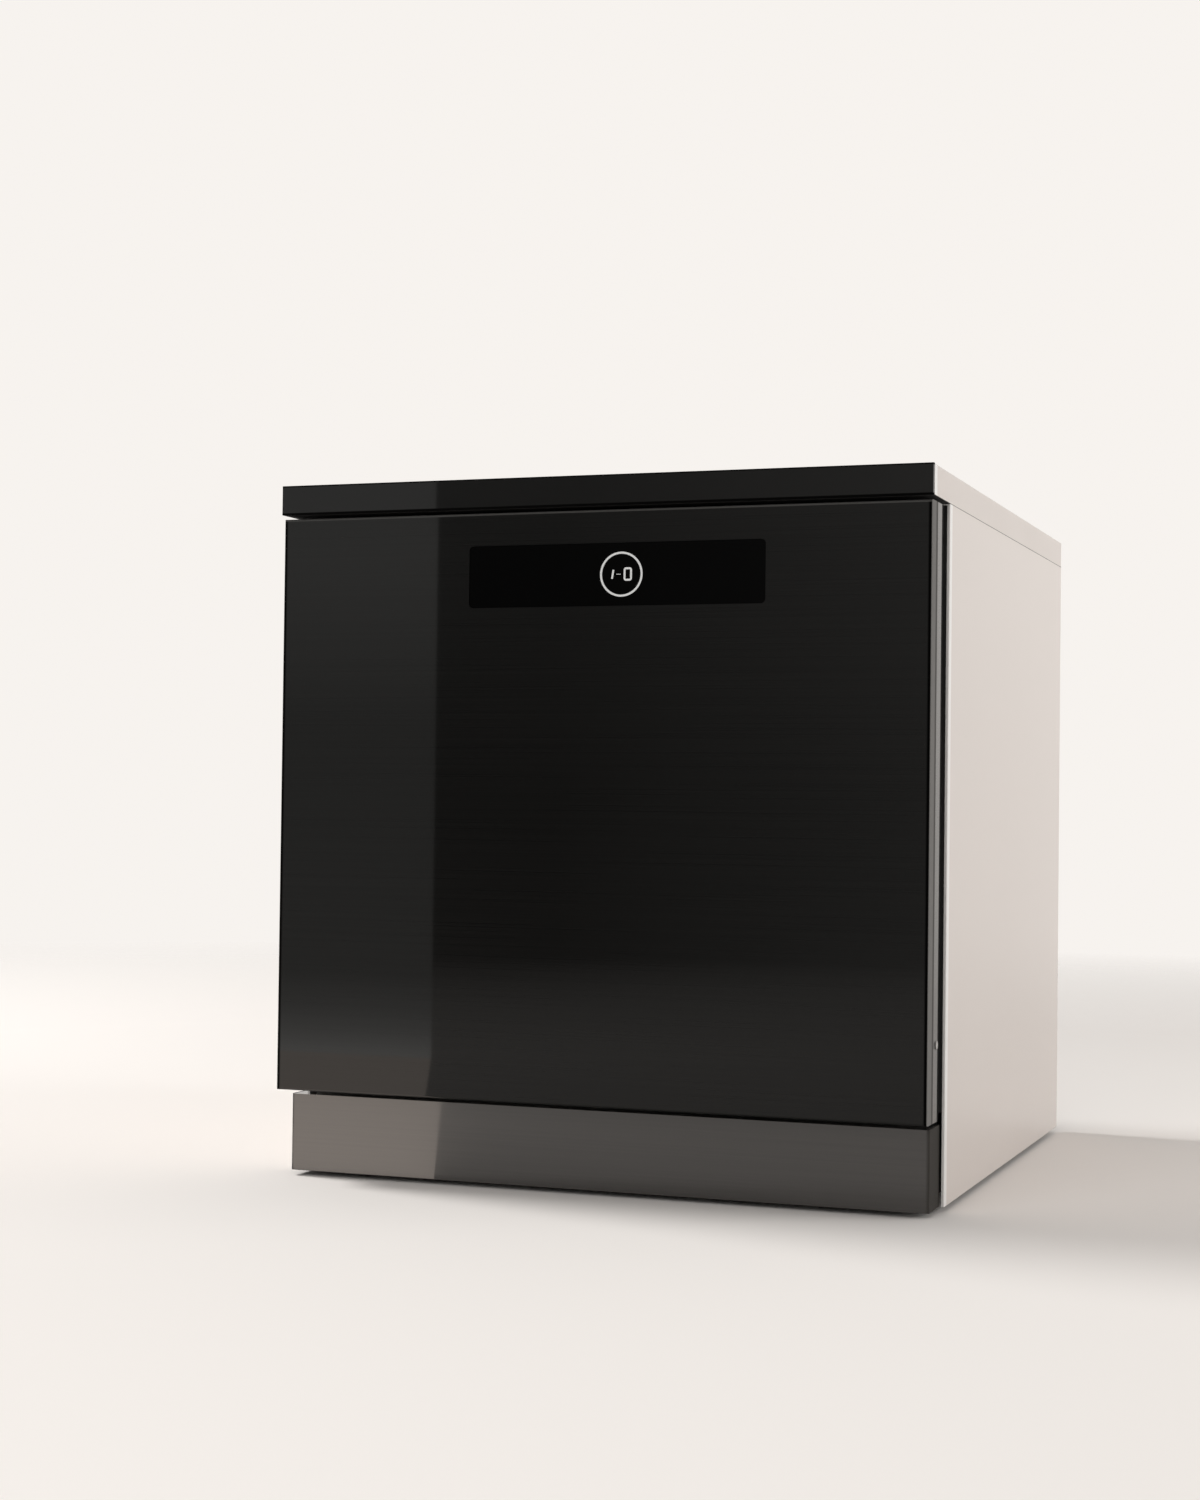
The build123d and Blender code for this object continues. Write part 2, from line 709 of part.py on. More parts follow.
def door_seal():
    """Bulb gasket round the mouth and the lip along the sill."""
    x = tub_half + 7.0
    top = tub_ceiling_z + 7.0
    foot_z = hinge_slot_top_z + 5.0
    corners = [(-x, foot_z), (-x, top), (x, top), (x, foot_z)]
    path = FilletPolyline(*[(place, frame_front_y, z) for place, z in corners], radius=24)
    depth = frame_front_y - door_rear_y - running_gap
    bulb = 6.2
    root = depth - bulb
    profile = Pos(0, -root / 2) * Rectangle(10, root) + Pos(0, -root) * Circle(bulb)
    start = Plane(origin=path @ 0, x_dir=(1, 0, 0), z_dir=path % 0)
    gasket = sweep(start * profile, path=path)
    reach = bracket_x[0] - 18.0
    lip = block((-reach, reach), (frame_front_y - 17, frame_front_y), (tub_floor_z - 14, tub_floor_z - 2))
    lip = fillet(lip.edges().filter_by(Axis.X).group_by(Axis.Y)[0], 5)
    return Compound(children=[gasket, lip])


def tub_insulation():
    """Felt mat on the tub's roof."""
    reach = tub_half - tub_corner_radius - 4
    y = (tub_front_y + 30, tub_rear_y - tub_corner_radius - 4)
    low = tub_ceiling_z + tub_sheet
    return block((-reach, reach), y, (low, worktop_underside - panel_sheet - 8))


# Water circuit

def pump_housing():
    """Circulation pump: volute with its outlet elbow, and the motor behind it."""
    y = volute_front_y
    rear = volute_rear_y
    end = rear + motor_length
    axis = (pump_x, pump_z)
    body = rod((axis[0], y, axis[1]), (axis[0], rear, axis[1]), volute_radius)
    outlet_y = y + volute_length / 2
    body += rod((axis[0], outlet_y, heater_z), (0, outlet_y, heater_z), 11)
    body += Pos(0, outlet_y, heater_z) * Sphere(11)
    body += rod((0, outlet_y, heater_z), (0, rear, heater_z), 11)
    body += rod((axis[0], rear, axis[1]), (axis[0], end, axis[1]), motor_radius)
    for step in range(5):
        rib = rear + 12 + 15 * step
        body += rod((axis[0], rib, axis[1]), (axis[0], rib + 4, axis[1]), motor_radius + 1.5)
    chamber = impeller_radius + 2
    body -= rod((axis[0], y + 3, axis[1]), (axis[0], rear - 3, axis[1]), chamber)
    body -= rod((axis[0], y - 1, axis[1]), (axis[0], y + 4, axis[1]), 11)
    shaft = pump_shaft_radius + arm_clearance
    return body - rod((axis[0], rear - 4, axis[1]), (axis[0], end - 12, axis[1]), shaft)


def pump_impeller():
    y = volute_front_y + 6
    rear = volute_rear_y - 6
    wheel = rod((pump_x, rear - 4, pump_z), (pump_x, rear, pump_z), impeller_radius)
    for step in range(6):
        blade = block((6, impeller_radius - 1), (y, rear - 2), (-1.5, 1.5))
        wheel += Pos(pump_x, 0, pump_z) * Rot(0, 60 * step, 0) * blade
    hub = rod((pump_x, y, pump_z), (pump_x, rear, pump_z), 8)
    shaft = rod((pump_x, y, pump_z), (pump_x, rear + motor_length - 20, pump_z), pump_shaft_radius)
    return wheel + hub + shaft


def heater():
    """Flow-through heater between the pump and the riser."""
    start = volute_rear_y
    end = heater_rear_y
    inner = heater_radius - 4
    band = heater_radius + heater_band
    body = pipe((0, start, heater_z), (0, end, heater_z), heater_radius, inner)
    for place in (start + 8, end - 12):
        body += pipe((0, place, heater_z), (0, place + 4, heater_z), band, inner)
    cap = (12, heater_z + heater_radius - 6)
    return body + block((-cap[0] / 2, cap[0] / 2), (start + 30, start + 62), (cap[1], cap[1] + 9))


def riser_duct():
    """Duct from the heater up the tub's rear wall to the upper rack's docking port."""
    y = riser_y
    top = feed_z + feed_radius + 12
    dock_y = y - dock_reach

    def run(radius, height):
        points = [(0, heater_rear_y, heater_z), (0, y, heater_z), (0, y, height)]
        path = FilletPolyline(*points, radius=riser_radius + 4)
        return sweep(Plane(origin=path @ 0, z_dir=path % 0) * Circle(radius), path=path)

    inner = riser_radius - riser_wall
    body = run(riser_radius, top) + rod((0, y, feed_z), (0, dock_y, feed_z), riser_radius + 2)
    return body - run(inner, top - riser_wall) - rod((0, y, feed_z), (0, dock_y - 1, feed_z), inner)


def upper_feed_pipe():
    """Pipe under the upper rack from its docking end to the upper arm's spigot."""
    y = riser_y - dock_reach - 2 * running_gap
    inner = feed_radius - 2
    body = rod((0, y, feed_z), (0, arm_axis_y, feed_z), feed_radius)
    body += rod((0, arm_axis_y, feed_z), (0, arm_axis_y, upper_arm_z + arm_height), 14)
    spigot = arm_spigot_radius - arm_clearance
    body += rod((0, arm_axis_y, upper_arm_z + 1), (0, arm_axis_y, feed_z), spigot)
    body -= rod((0, y + 1, feed_z), (0, arm_axis_y, feed_z), inner)
    return body - rod((0, arm_axis_y, upper_arm_z), (0, arm_axis_y, feed_z), 5.5)


def spray_arm(reach, z, spigot_above):
    """Two-bladed spray arm with a row of nozzles on each blade."""
    shift = 12.0
    tip = reach - arm_tip_width / 2
    hub = Circle(arm_root_width / 2)
    plan = Circle(arm_hub_radius)
    for side in (-1, 1):
        end = Pos(side * tip, side * shift) * Circle(arm_tip_width / 2)
        plan += make_hull(hub.edges() + end.edges())
    place = Pos(0, arm_axis_y, z)
    body = extrude(place * plan, arm_height)
    rims = body.faces().sort_by(Axis.Z)
    body = chamfer(rims[-1].edges() + rims[0].edges(), 2)
    for side in (-1, 1):
        for step in range(1, nozzles_per_side + 1):
            x = side * (arm_hub_radius + (tip - arm_hub_radius) * step / nozzles_per_side)
            y = shift * x / tip
            body += place * Pos(x, y, arm_height) * Cylinder(4.5, 3)
            body -= place * Pos(x, y, arm_height) * Cylinder(1.4, 8)
    bore = (0, arm_height - 0.5) if not spigot_above else (0.5, arm_height + 2)
    return body - rod((0, arm_axis_y, z + bore[0] - 0.01), (0, arm_axis_y, z + bore[1]), arm_spigot_radius)


def softener_neck(low, high):
    """Salt filler in four quarters, with its rim over the tub floor."""
    axis = (softener_x, softener_y)
    neck_top = tub_floor_z + neck_rise
    neck = rod((*axis, low), (*axis, tub_floor_z), softener_neck_radius)
    neck += rod((*axis, tub_floor_z), (*axis, neck_top), softener_neck_radius + neck_rim)
    neck -= rod((*axis, low - 1), (*axis, neck_top + 1), salt_bore)
    far = 3 * softener_neck_radius
    quarter = Polygon((0, 0), (far, -far), (far, far), align=None)
    return [neck & extrude(Pos(*axis, 0) * Rot(0, 0, turn) * quarter, high) for turn in (0, 90, 180, 270)]


def water_softener():
    """Softener in the base: resin block at the rear, salt tank in front and the salt filler."""
    x = (softener_x - softener_half_width, softener_x + softener_half_width)
    y = (softener_y - softener_half_width, softener_y + softener_half_width)
    top = tub_floor_z - tub_sheet - softener_tub_gap
    wall = plastic_wall
    inside_x, inside_y = (x[0] + wall, x[1] - wall), (y[0] + wall, y[1] - wall)
    z = (tray_inside_z, top)
    side_z = (z[0] + wall, z[1] - wall)
    solids = [block(x, (y[1], y[1] + resin_length), z), block(x, y, (z[0], side_z[0]))]
    solids += [block(x, (y[0], inside_y[0]), side_z), block(x, (inside_y[1], y[1]), side_z)]
    solids += [block((x[0], inside_x[0]), inside_y, side_z), block((inside_x[1], x[1]), inside_y, side_z)]
    hole = salt_bore - neck_seat
    hole_x = (softener_x - hole, softener_x + hole)
    hole_y = (softener_y - hole, softener_y + hole)
    lid_z = (side_z[1], z[1])
    solids += [block(x, (y[0], hole_y[0]), lid_z), block(x, (hole_y[1], y[1]), lid_z)]
    solids += [block((x[0], hole_x[0]), hole_y, lid_z), block((hole_x[1], x[1]), hole_y, lid_z)]
    return Compound(children=solids + softener_neck(z[1], overall_height))


def salt_cap():
    """Screw cap of the salt filler."""
    z = tub_floor_z + neck_rise
    axis = (softener_x, softener_y)
    cap = rod((*axis, z), (*axis, z + 5), salt_cap_radius)
    cap += rod((*axis, z - 14), (*axis, z), salt_bore - arm_clearance)
    grip_x = (softener_x - salt_bore, softener_x + salt_bore)
    return cap + block(grip_x, (softener_y - 4, softener_y + 4), (z + 5, z + 12))


def inlet_valve():
    """Water valve with its threaded inlet in the rear hose recess."""
    inside = tray_rear_y - plastic_wall
    body = block((inlet_x - 22, inlet_x + 22), (inside - 46, inside), (inlet_z - 24, inlet_z + 24))
    body = fillet(body.edges().filter_by(Axis.Y), 4)
    end = rear_y - connector_inset
    thread = end - inlet_thread_length
    body += rod((inlet_x, inside, inlet_z), (inlet_x, thread, inlet_z), inlet_radius - 2)
    body += rod((inlet_x, thread, inlet_z), (inlet_x, end, inlet_z), inlet_radius)
    return body - rod((inlet_x, inside - 20, inlet_z), (inlet_x, rear_y, inlet_z), inlet_radius - 4)


def drain_pump():
    """Drain pump on the sump's right port."""
    x = sump_half_width + drain_pump_gap
    y, z = drain_pump_y, drain_pump_z
    motor_x = x + drain_head_length
    body = rod((x, y, z), (motor_x, y, z), drain_head_radius)
    body += rod((motor_x, y, z), (motor_x + drain_motor_length, y, z), drain_motor_radius)
    body += rod((drain_x, y, drain_z), (drain_x, drain_port_y, drain_z), drain_radius)
    return body - rod((drain_x, y + 6, drain_z), (drain_x, drain_port_y + 1, drain_z), drain_radius - 2)


def drain_outlet():
    """Drain pipe from the drain pump to the hose spigot in the rear recess."""
    end = rear_y - connector_inset
    inner = drain_radius - 2
    body = pipe((drain_x, drain_port_y, drain_z), (drain_x, end, drain_z), drain_radius, inner)
    wall = tray_rear_y - plastic_wall
    body += pipe((drain_x, wall - 4, drain_z), (drain_x, wall, drain_z), drain_radius + 6, inner)
    barb = (drain_x, end - barb_length, drain_z)
    return body + pipe(barb, (drain_x, end, drain_z), barb_radius, inner)


def power_inlet():
    """Recessed mains inlet with three contact pins."""
    y = (tray_rear_y - 22, tray_rear_y + 2)
    body = block((power_x - 13.7, power_x + 13.7), (y[0], tray_rear_y), (power_z - 9.7, power_z + 9.7))
    body += block((power_x - 17, power_x + 17), (tray_rear_y, y[1]), (power_z - 13, power_z + 13))
    body -= block((power_x - 11.5, power_x + 11.5), (y[0] + 4, y[1] + 1), (power_z - 7.5, power_z + 7.5))
    for step in (-1, 0, 1):
        x = power_x + 7 * step
        z = power_z + (2 if step == 0 else -2)
        body += block((x - 1, x + 1), (y[0] + 3, y[1] - 5), (z - 2, z + 2))
    return body


# Door

def hinge_slot():
    """Space at the door's lower right corner that the hinge bracket sweeps through."""
    low = block(hinge_slot_x, (door_front_y + 3, door_rear_y + 6), (door_bottom_z - 1, door_bottom_z + 5))
    rear = (door_rear_y - 6, door_rear_y + 6)
    return low + block(hinge_slot_x, rear, (door_bottom_z - 1, hinge_slot_top_z))


def door_outer_panel():
    y = (door_front_y, door_skin_rear_y)
    z = (door_bottom_z, door_top_z)
    skin = block((-door_half, door_half), y, z)
    skin = fillet(skin.faces().sort_by(Axis.Y)[0].edges(), door_edge_radius)
    inner_half = door_half - door_sheet
    inner_z = (z[0] + door_sheet, z[1] - door_sheet)
    skin -= block((-inner_half, inner_half), (y[0] + door_sheet, y[1] + 1), inner_z)
    skin -= window_outline(0, y[0] - 1, y[0] + 2 * door_sheet)
    return skin - hinge_slot() - mirror(hinge_slot(), about=Plane.YZ)


def window_outline(grow, start, end):
    """Rounded block over the display window, from one y to another."""
    x = (window_x - window_width / 2 - grow, window_x + window_width / 2 + grow)
    z = (window_z - window_height / 2 - grow, window_z + window_height / 2 + grow)
    return plate_xz(x, z, (start, end), window_corner_radius)


def display_window():
    glass = window_outline(-button_clearance, window_front_y, window_rear_y)
    hole = ring_outer_radius + ring_clearance
    return glass - rod((ring_x, window_front_y - 1, window_z), (ring_x, window_rear_y + 1, window_z), hole)


def display_ring():
    """Light guide ring from the window's face back to the board."""
    start, end = (ring_x, window_front_y - 0.2, window_z), (ring_x, board_front_y, window_z)
    return pipe(start, end, ring_outer_radius, ring_outer_radius - ring_line)


def power_button():
    radius = ring_outer_radius - ring_line - button_clearance
    face = rod((ring_x, window_front_y, window_z), (ring_x, window_front_y + 4, window_z), radius)
    switch_front = board_front_y - 2.0
    end = switch_front - button_travel - 0.1
    return face + rod((ring_x, window_front_y + 4, window_z), (ring_x, end, window_z), button_stem_radius)


def control_board():
    x = (window_x - window_width / 2 + 6, window_x + window_width / 2 - 6)
    z = (window_z - window_height / 2 + 5, window_z + window_height / 2 - 5)
    y = (board_front_y, board_front_y + board_thickness)
    board = block(x, y, z)
    board += block((ring_x - 6, ring_x + 6), (y[0] - 2, y[0]), (window_z - 6, window_z + 6))
    for share in (0.08, 0.22, 0.36, 0.74, 0.88):
        place = x[0] + share * (x[1] - x[0])
        board += block((place - 7, place + 7), (y[0] - 2.5, y[0]), (window_z - 8, window_z + 6))
    return board


def control_housing():
    """Housing that clamps the window against the skin and carries the board."""
    y = (door_front_y + door_sheet, housing_rear_y)
    body = window_outline(8, y[0], window_rear_y + 3) + window_outline(0, window_rear_y, y[1])
    body -= window_outline(0, y[0] - 1, window_rear_y)
    body -= window_outline(-3.5, y[0] - 1, y[1] - 2.5)
    for side in (-1, 1):
        x = window_x + side * (window_width / 2 - 14)
        for step in (-1, 1):
            z = window_z + step * (window_height / 2 - 11)
            body += rod((x, board_front_y + board_thickness, z), (x, y[1], z), 3)
    return body


def door_inner_panel():
    """Stainless liner with a pressed plateau, cut out for the dispenser and the hinges."""
    y = (door_skin_rear_y, door_rear_y)
    z = (door_bottom_z, door_top_z)
    shell = block((-door_half, door_half), y, z)
    shell = fillet(shell.faces().sort_by(Axis.Y)[-1].edges(), door_edge_radius)
    inner_half = door_half - door_sheet
    hollow_z = (z[0] + door_sheet, z[1] - door_sheet)
    shell -= block((-inner_half, inner_half), (y[0] - 1, y[1] - door_sheet), hollow_z)
    reach = door_half - liner_border
    low, high = hinge_slot_top_z + 18, tub_ceiling_z - 16
    outer = plate_xz((-reach, reach), (low, high), (y[1] - door_sheet, plateau_y), 20)
    outer = fillet(outer.faces().sort_by(Axis.Y)[-1].edges(), liner_raise - 1)
    thin = door_sheet
    inner_x, inner_z = (thin - reach, reach - thin), (low + thin, high - thin)
    shell = shell - plate_xz(inner_x, inner_z, (y[1] - 2 * thin, y[1] + 1), 20 - thin)
    shell += outer - plate_xz(inner_x, inner_z, (y[1] - 2 * thin, plateau_y - thin), 20 - thin)
    shell -= dispenser_block(0.2, (y[0], plateau_y + 1))
    places = door_screw_place()
    hole = rod((0, *places), (door_half + 1, *places), screw_shank_radius + screw_hole_clearance)
    shell = shell - hinge_slot() - mirror(hinge_slot(), about=Plane.YZ) - hole - mirror(hole, about=Plane.YZ)
    return cut_up(shell, liner_zones())


def liner_zones():
    """Space round the liner: its four folded edges, and its face on each side of the dispenser."""
    far = overall_width
    fold = door_rear_y - 2 * door_edge_radius
    edge_x = door_half - door_edge_radius
    edge_z = (door_bottom_z + door_edge_radius, door_top_z - door_edge_radius)
    y = (-far, fold)
    zones = [block((-far, -edge_x), y, (0, 2 * far)), block((edge_x, far), y, (0, 2 * far))]
    zones += [block((-edge_x, edge_x), y, (0, edge_z[0])), block((-edge_x, edge_x), y, (edge_z[1], 2 * far))]
    half = dispenser_width / 2
    y = (fold, far)
    zones += [block((-far, -half), y, (0, 2 * far)), block((half, far), y, (0, 2 * far))]
    for z in ((0, dispenser_z), (dispenser_z, 2 * far)):
        zones.append(block((-half, half), y, z))
    return zones


def dispenser_block(grow, y):
    x = (-dispenser_width / 2 - grow, dispenser_width / 2 + grow)
    z = (dispenser_z - dispenser_height / 2 - grow, dispenser_z + dispenser_height / 2 + grow)
    return plate_xz(x, z, y, 8)


def door_insulation():
    """Heavy felt mat behind the outer skin."""
    y = (door_front_y + door_sheet, door_front_y + door_sheet + door_mat_thickness)
    reach = bracket_x[0] - 6
    return block((-reach, reach), y, (door_bottom_z + 20, window_z - window_height / 2 - 14))


def door_screw_place():
    return (door_skin_rear_y + 10.0, hinge_z + 53.0)


def door_screws():
    """One screw in each side edge, holding the hinge arm."""
    place = door_screw_place()
    end = min(door_half + 1.0, half_width)
    screw = rod((door_half, *place), (end, *place), screw_head_radius - 1)
    screw += rod((door_half - screw_shank_length, *place), (door_half, *place), screw_shank_radius)
    return both_sides(screw)


def hinge_arms():
    """Hinge arm inside each side of the door, with the pin it turns on."""
    low = hinge_z
    top = hinge_z + hinge_arm_height
    y = (hinge_y - 8, hinge_y - 8 + hinge_arm_width + 4)
    arm = block(hinge_arm_x, y, (low, top))
    arm += rod((hinge_arm_x[0], hinge_y, hinge_z), (hinge_arm_x[1], hinge_y, hinge_z), 8)
    hole_ends = [(x, hinge_y, hinge_z) for x in (hinge_arm_x[0] - 1, hinge_arm_x[1] + 1)]
    arm -= rod(*hole_ends, hinge_pin_radius)
    eye = (spring_eye_y, spring_z)
    arm -= block(hinge_arm_x, (eye[0] - 2, y[1] + 1), (eye[1] - 3, eye[1] + 3))
    foot_y = (door_skin_rear_y + 3, door_rear_y - door_sheet - 2)
    arm += block((hinge_arm_x[1] - 1, door_half - door_sheet), foot_y, (hinge_z + 40, top))
    place = door_screw_place()
    hole = screw_shank_radius + screw_hole_clearance
    arm -= rod((door_half - screw_shank_length - 1, *place), (door_half, *place), hole)
    pin = rod((bracket_x[0] - 1, hinge_y, hinge_z), (hinge_arm_x[1], hinge_y, hinge_z), hinge_pin_radius)
    return Compound(children=[arm, pin, mirror(arm, about=Plane.YZ), mirror(pin, about=Plane.YZ)])


def hinge_brackets():
    """Fixed bracket on the frame that carries each hinge pin."""
    bar = 6.0
    plate = block(bracket_x, (hinge_y, frame_front_y), (hinge_z - bar, hinge_z + bar))
    plate += rod((bracket_x[0], hinge_y, hinge_z), (bracket_x[1], hinge_y, hinge_z), hinge_nose_radius)
    foot_x = (bracket_x[0] - 12, bracket_x[1])
    plate += block(foot_x, (frame_front_y - 3, frame_front_y), (frame_foot_z + 1, tub_floor_z - 2))
    bore = hinge_pin_radius + hinge_pin_clearance
    plate -= rod((bracket_x[0] - 1, hinge_y, hinge_z), (bracket_x[1] + 1, hinge_y, hinge_z), bore)
    return both_sides(plate)


def latch_strike():
    """Steel tongue on the door's upper edge."""
    base = block((-16, 16), (door_rear_y, door_rear_y + 1.5), (strike_z - 2.5, strike_z + 4))
    reach = (door_rear_y, door_rear_y + strike_reach)
    tongue = block((-strike_half, strike_half), reach, (strike_z, strike_z + 3))
    return base + fillet(tongue.edges().filter_by(Axis.Z).group_by(Axis.Y)[-1], 3)


def latch_housing():
    """Latch on the frame's upper edge, which takes the door's tongue."""
    y = (door_rear_y + 4, frame_front_y)
    body = block((-30, 30), y, (strike_z - 3.2, worktop_underside - panel_sheet - 0.5))
    mouth_x = (-strike_half - 4, strike_half + 4)
    return body - block(mouth_x, (y[0] - 1, y[1] - 3), (strike_z - 0.9, strike_z + 7.5))


# Dispenser on the liner

def dispenser_housing():
    """Dispenser with a detergent cup, the lid's guides and the rinse-aid filler."""
    grow = dispenser_flange
    body = dispenser_block(0, (flange_y[1] - dispenser_depth, flange_y[1]))
    body += dispenser_block(grow, flange_y)
    body -= block(cup_x, (flange_y[1] - cup_depth, flange_y[1] + 1), cup_z)
    filler = cap_radius - 3
    x, z = cap_place
    body -= rod((x, flange_y[1] - 12, z), (x, flange_y[1] + 1, z), filler)
    body -= rod((x, flange_y[1] - 4, z), (x, flange_y[1] + 1, z), cap_radius + running_gap)
    guide_z = (cup_z[0] - lid_margin, cup_z[1] + lid_margin + lid_travel)
    for side, edge in ((-1, cup_x[0] - lid_margin), (1, cup_x[1] + lid_margin)):
        wall = sorted((edge + side * running_gap, edge + side * 3.5))
        lip = sorted((edge - side * 1.5, edge + side * 3.5))
        body += block(wall, (flange_y[1] - 1, lid_y[1] + running_gap + 1.2), guide_z)
        body += block(lip, (lid_y[1] + running_gap, lid_y[1] + running_gap + 1.2), guide_z)
    stop = block((cup_x[0], cup_x[1]), (flange_y[1] - 1, lid_y[1]), (guide_z[0] - 3, guide_z[0]))
    far = overall_width
    y = (flange_y[1] - cup_depth, far)
    zones = [block((-far, far), (-far, y[0]), (0, 2 * far))]
    zones += [block((-far, cup_x[0]), y, (0, 2 * far)), block((cup_x[1], far), y, (0, 2 * far))]
    zones += [block(cup_x, y, (0, cup_z[0])), block(cup_x, y, (cup_z[1], 2 * far))]
    return cut_up(body + stop, zones)


def detergent_lid():
    """Lid that slides up in its guides."""
    x = (cup_x[0] - lid_margin, cup_x[1] + lid_margin)
    z = (cup_z[0] - lid_margin, cup_z[1] + lid_margin)
    lid = block(x, lid_y, z)
    middle = (x[0] + x[1]) / 2
    return lid + block((middle - 16, middle + 16), (lid_y[1], lid_y[1] + 2.5), (z[1] - 12, z[1] - 8))


def rinse_cap():
    """Quarter-turn cap of the rinse-aid filler."""
    x, z = cap_place
    cap = rod((x, flange_y[1] - 4, z), (x, flange_y[1] + 1, z), cap_radius)
    cap += rod((x, flange_y[1] - 11, z), (x, flange_y[1] - 4, z), cap_radius - 3 - arm_clearance)
    grip = cap_radius - 3
    return cap + block((x - grip, x + grip), (flange_y[1] + 1, flange_y[1] + 6), (z - 2.5, z + 2.5))


# Racks

def spread(low, high, pitch):
    """Even stations between two ends, close to the wanted pitch."""
    count = max(2, round((high - low) / pitch) + 1)
    return [low + (high - low) * step / (count - 1) for step in range(count)]


def long_wire_places(half):
    reach = half - rack_corner_room
    return spread(-reach, reach, rack_wire_pitch)


def cross_wire_places(y):
    return spread(y[0] + rack_corner_room, y[1] - rack_corner_room, rack_wire_pitch)


def mat(wires):
    return wires[0].fuse(*wires[1:])


def rack_floor(half, y, floor_z):
    """Floor mat: cross wires with long wires welded on top of them."""
    lift = floor_z + long_wire_lift
    wires = []
    for place in [y[0], *cross_wire_places(y), y[1]]:
        wires.append(rod((-half, place, floor_z), (half, place, floor_z), wire_radius))
    for place in [-half, *long_wire_places(half), half]:
        wires.append(rod((place, y[0], lift), (place, y[1], lift), wire_radius))
    return mat(wires)


def rack_side(half, y, floor_z, height):
    """Right wall: uprights outside the floor mat, a rim on their ends and a stay inside them."""
    x = half + long_wire_lift
    rim_z = floor_z + height - rim_step
    wires = [rod((x, y[0] - end_reach, rim_z), (x, y[1] + end_reach, rim_z), rim_wire_radius)]
    for place in cross_wire_places(y):
        wires.append(rod((x, place, floor_z - wire_radius), (x, place, rim_z), wire_radius))
    stay_z = floor_z + height / 2 - long_wire_lift
    wires.append(rod((half, y[0] - end_reach, stay_z), (half, y[1] + end_reach, stay_z), wire_radius))
    return mat(wires)


def rack_end(half, y, outward, floor_z, height):
    """Front or rear wall, with its rim over the rims of the side walls."""
    place_y = y + outward * long_wire_lift
    rim_z = floor_z + height
    reach = half + end_reach
    wires = [rod((-reach, place_y, rim_z), (reach, place_y, rim_z), rim_wire_radius)]
    for place in long_wire_places(half):
        wires.append(rod((place, place_y, floor_z), (place, place_y, rim_z), wire_radius))
    stay_z = floor_z + height / 2
    wires.append(rod((-reach, y, stay_z), (reach, y, stay_z), wire_radius))
    return mat(wires)


def wire_rack(half, y, floor_z, height):
    """Basket of five flat mats, each one notched where it is welded to the others."""
    floor = rack_floor(half, y, floor_z)
    ends = [rack_end(half, y[0], -1, floor_z, height), rack_end(half, y[1], 1, floor_z, height)]
    ends = [end - floor for end in ends]
    side = rack_side(half, y, floor_z, height) - floor - ends[0] - ends[1]
    return [floor, *ends, side, mirror(side, about=Plane.YZ)]


def lower_rack():
    y = (rack_front_y, rack_front_y + lower_rack_depth)
    solids = wire_rack(lower_half, y, lower_rack_floor_z, lower_rack_height)
    uprights_x = lower_half + long_wire_lift + wire_radius
    plate_x = (uprights_x - weld_bite, wheel_x[0] - running_gap)
    for place in wheel_y:
        span = (place - wheel_plate_half, place + wheel_plate_half)
        plate = block(plate_x, span, (wheel_z - 9, lower_rack_floor_z + 30))
        plate += rod((plate_x[0], place, wheel_z), (wheel_x[1] + 1, place, wheel_z), wheel_axle_radius)
        solids += both_sides(plate - solids[3]).solids()
    return Compound(children=solids)


def rack_wheel(side, y):
    x = sorted((side * wheel_x[0], side * wheel_x[1]))
    wheel = rod((x[0], y, wheel_z), (x[1], y, wheel_z), wheel_radius)
    wheel = fillet(wheel.edges(), 1.5)
    bore = wheel_axle_radius + wheel_bore_clearance
    wheel -= rod((x[0] - 1, y, wheel_z), (x[1] + 1, y, wheel_z), bore)
    outer = (x[1] - 2.5, x[1] + 1) if side > 0 else (x[0] - 1, x[0] + 2.5)
    groove = pipe((outer[0], y, wheel_z), (outer[1], y, wheel_z), wheel_radius - 4, wheel_axle_radius + 3)
    return wheel - groove


def tine_rows():
    """The two long wires that carry the plate tines."""
    places = long_wire_places(lower_half)
    return (places[1], places[3])


def plate_tines():
    """Upright tines, each notched onto a long wire of the lower rack."""
    middle = rack_front_y + lower_rack_depth / 2
    z = lower_rack_floor_z + long_wire_lift
    tines = []
    for x in tine_rows():
        wire = rod((x, rack_front_y, z), (x, rack_front_y + lower_rack_depth, z), wire_radius)
        for step in range(tine_count):
            y = middle + tine_pitch * (step - (tine_count - 1) / 2)
            tines.append(rod((x, y, z), (x, y, z + tine_height), tine_radius) - wire)
    return Compound(children=tines)


def basket_cell_spans():
    """x and y spans of each cell of the cutlery basket."""
    wide = (basket_x[1] - basket_x[0] - basket_wall) / basket_cells[0]
    deep = (basket_y[1] - basket_y[0] - basket_wall) / basket_cells[1]
    spans = []
    for column in range(basket_cells[0]):
        x = basket_x[0] + basket_wall + column * wide
        for row in range(basket_cells[1]):
            y = basket_y[0] + basket_wall + row * deep
            spans.append(((x, x + wide - basket_wall), (y, y + deep - basket_wall)))
    return spans


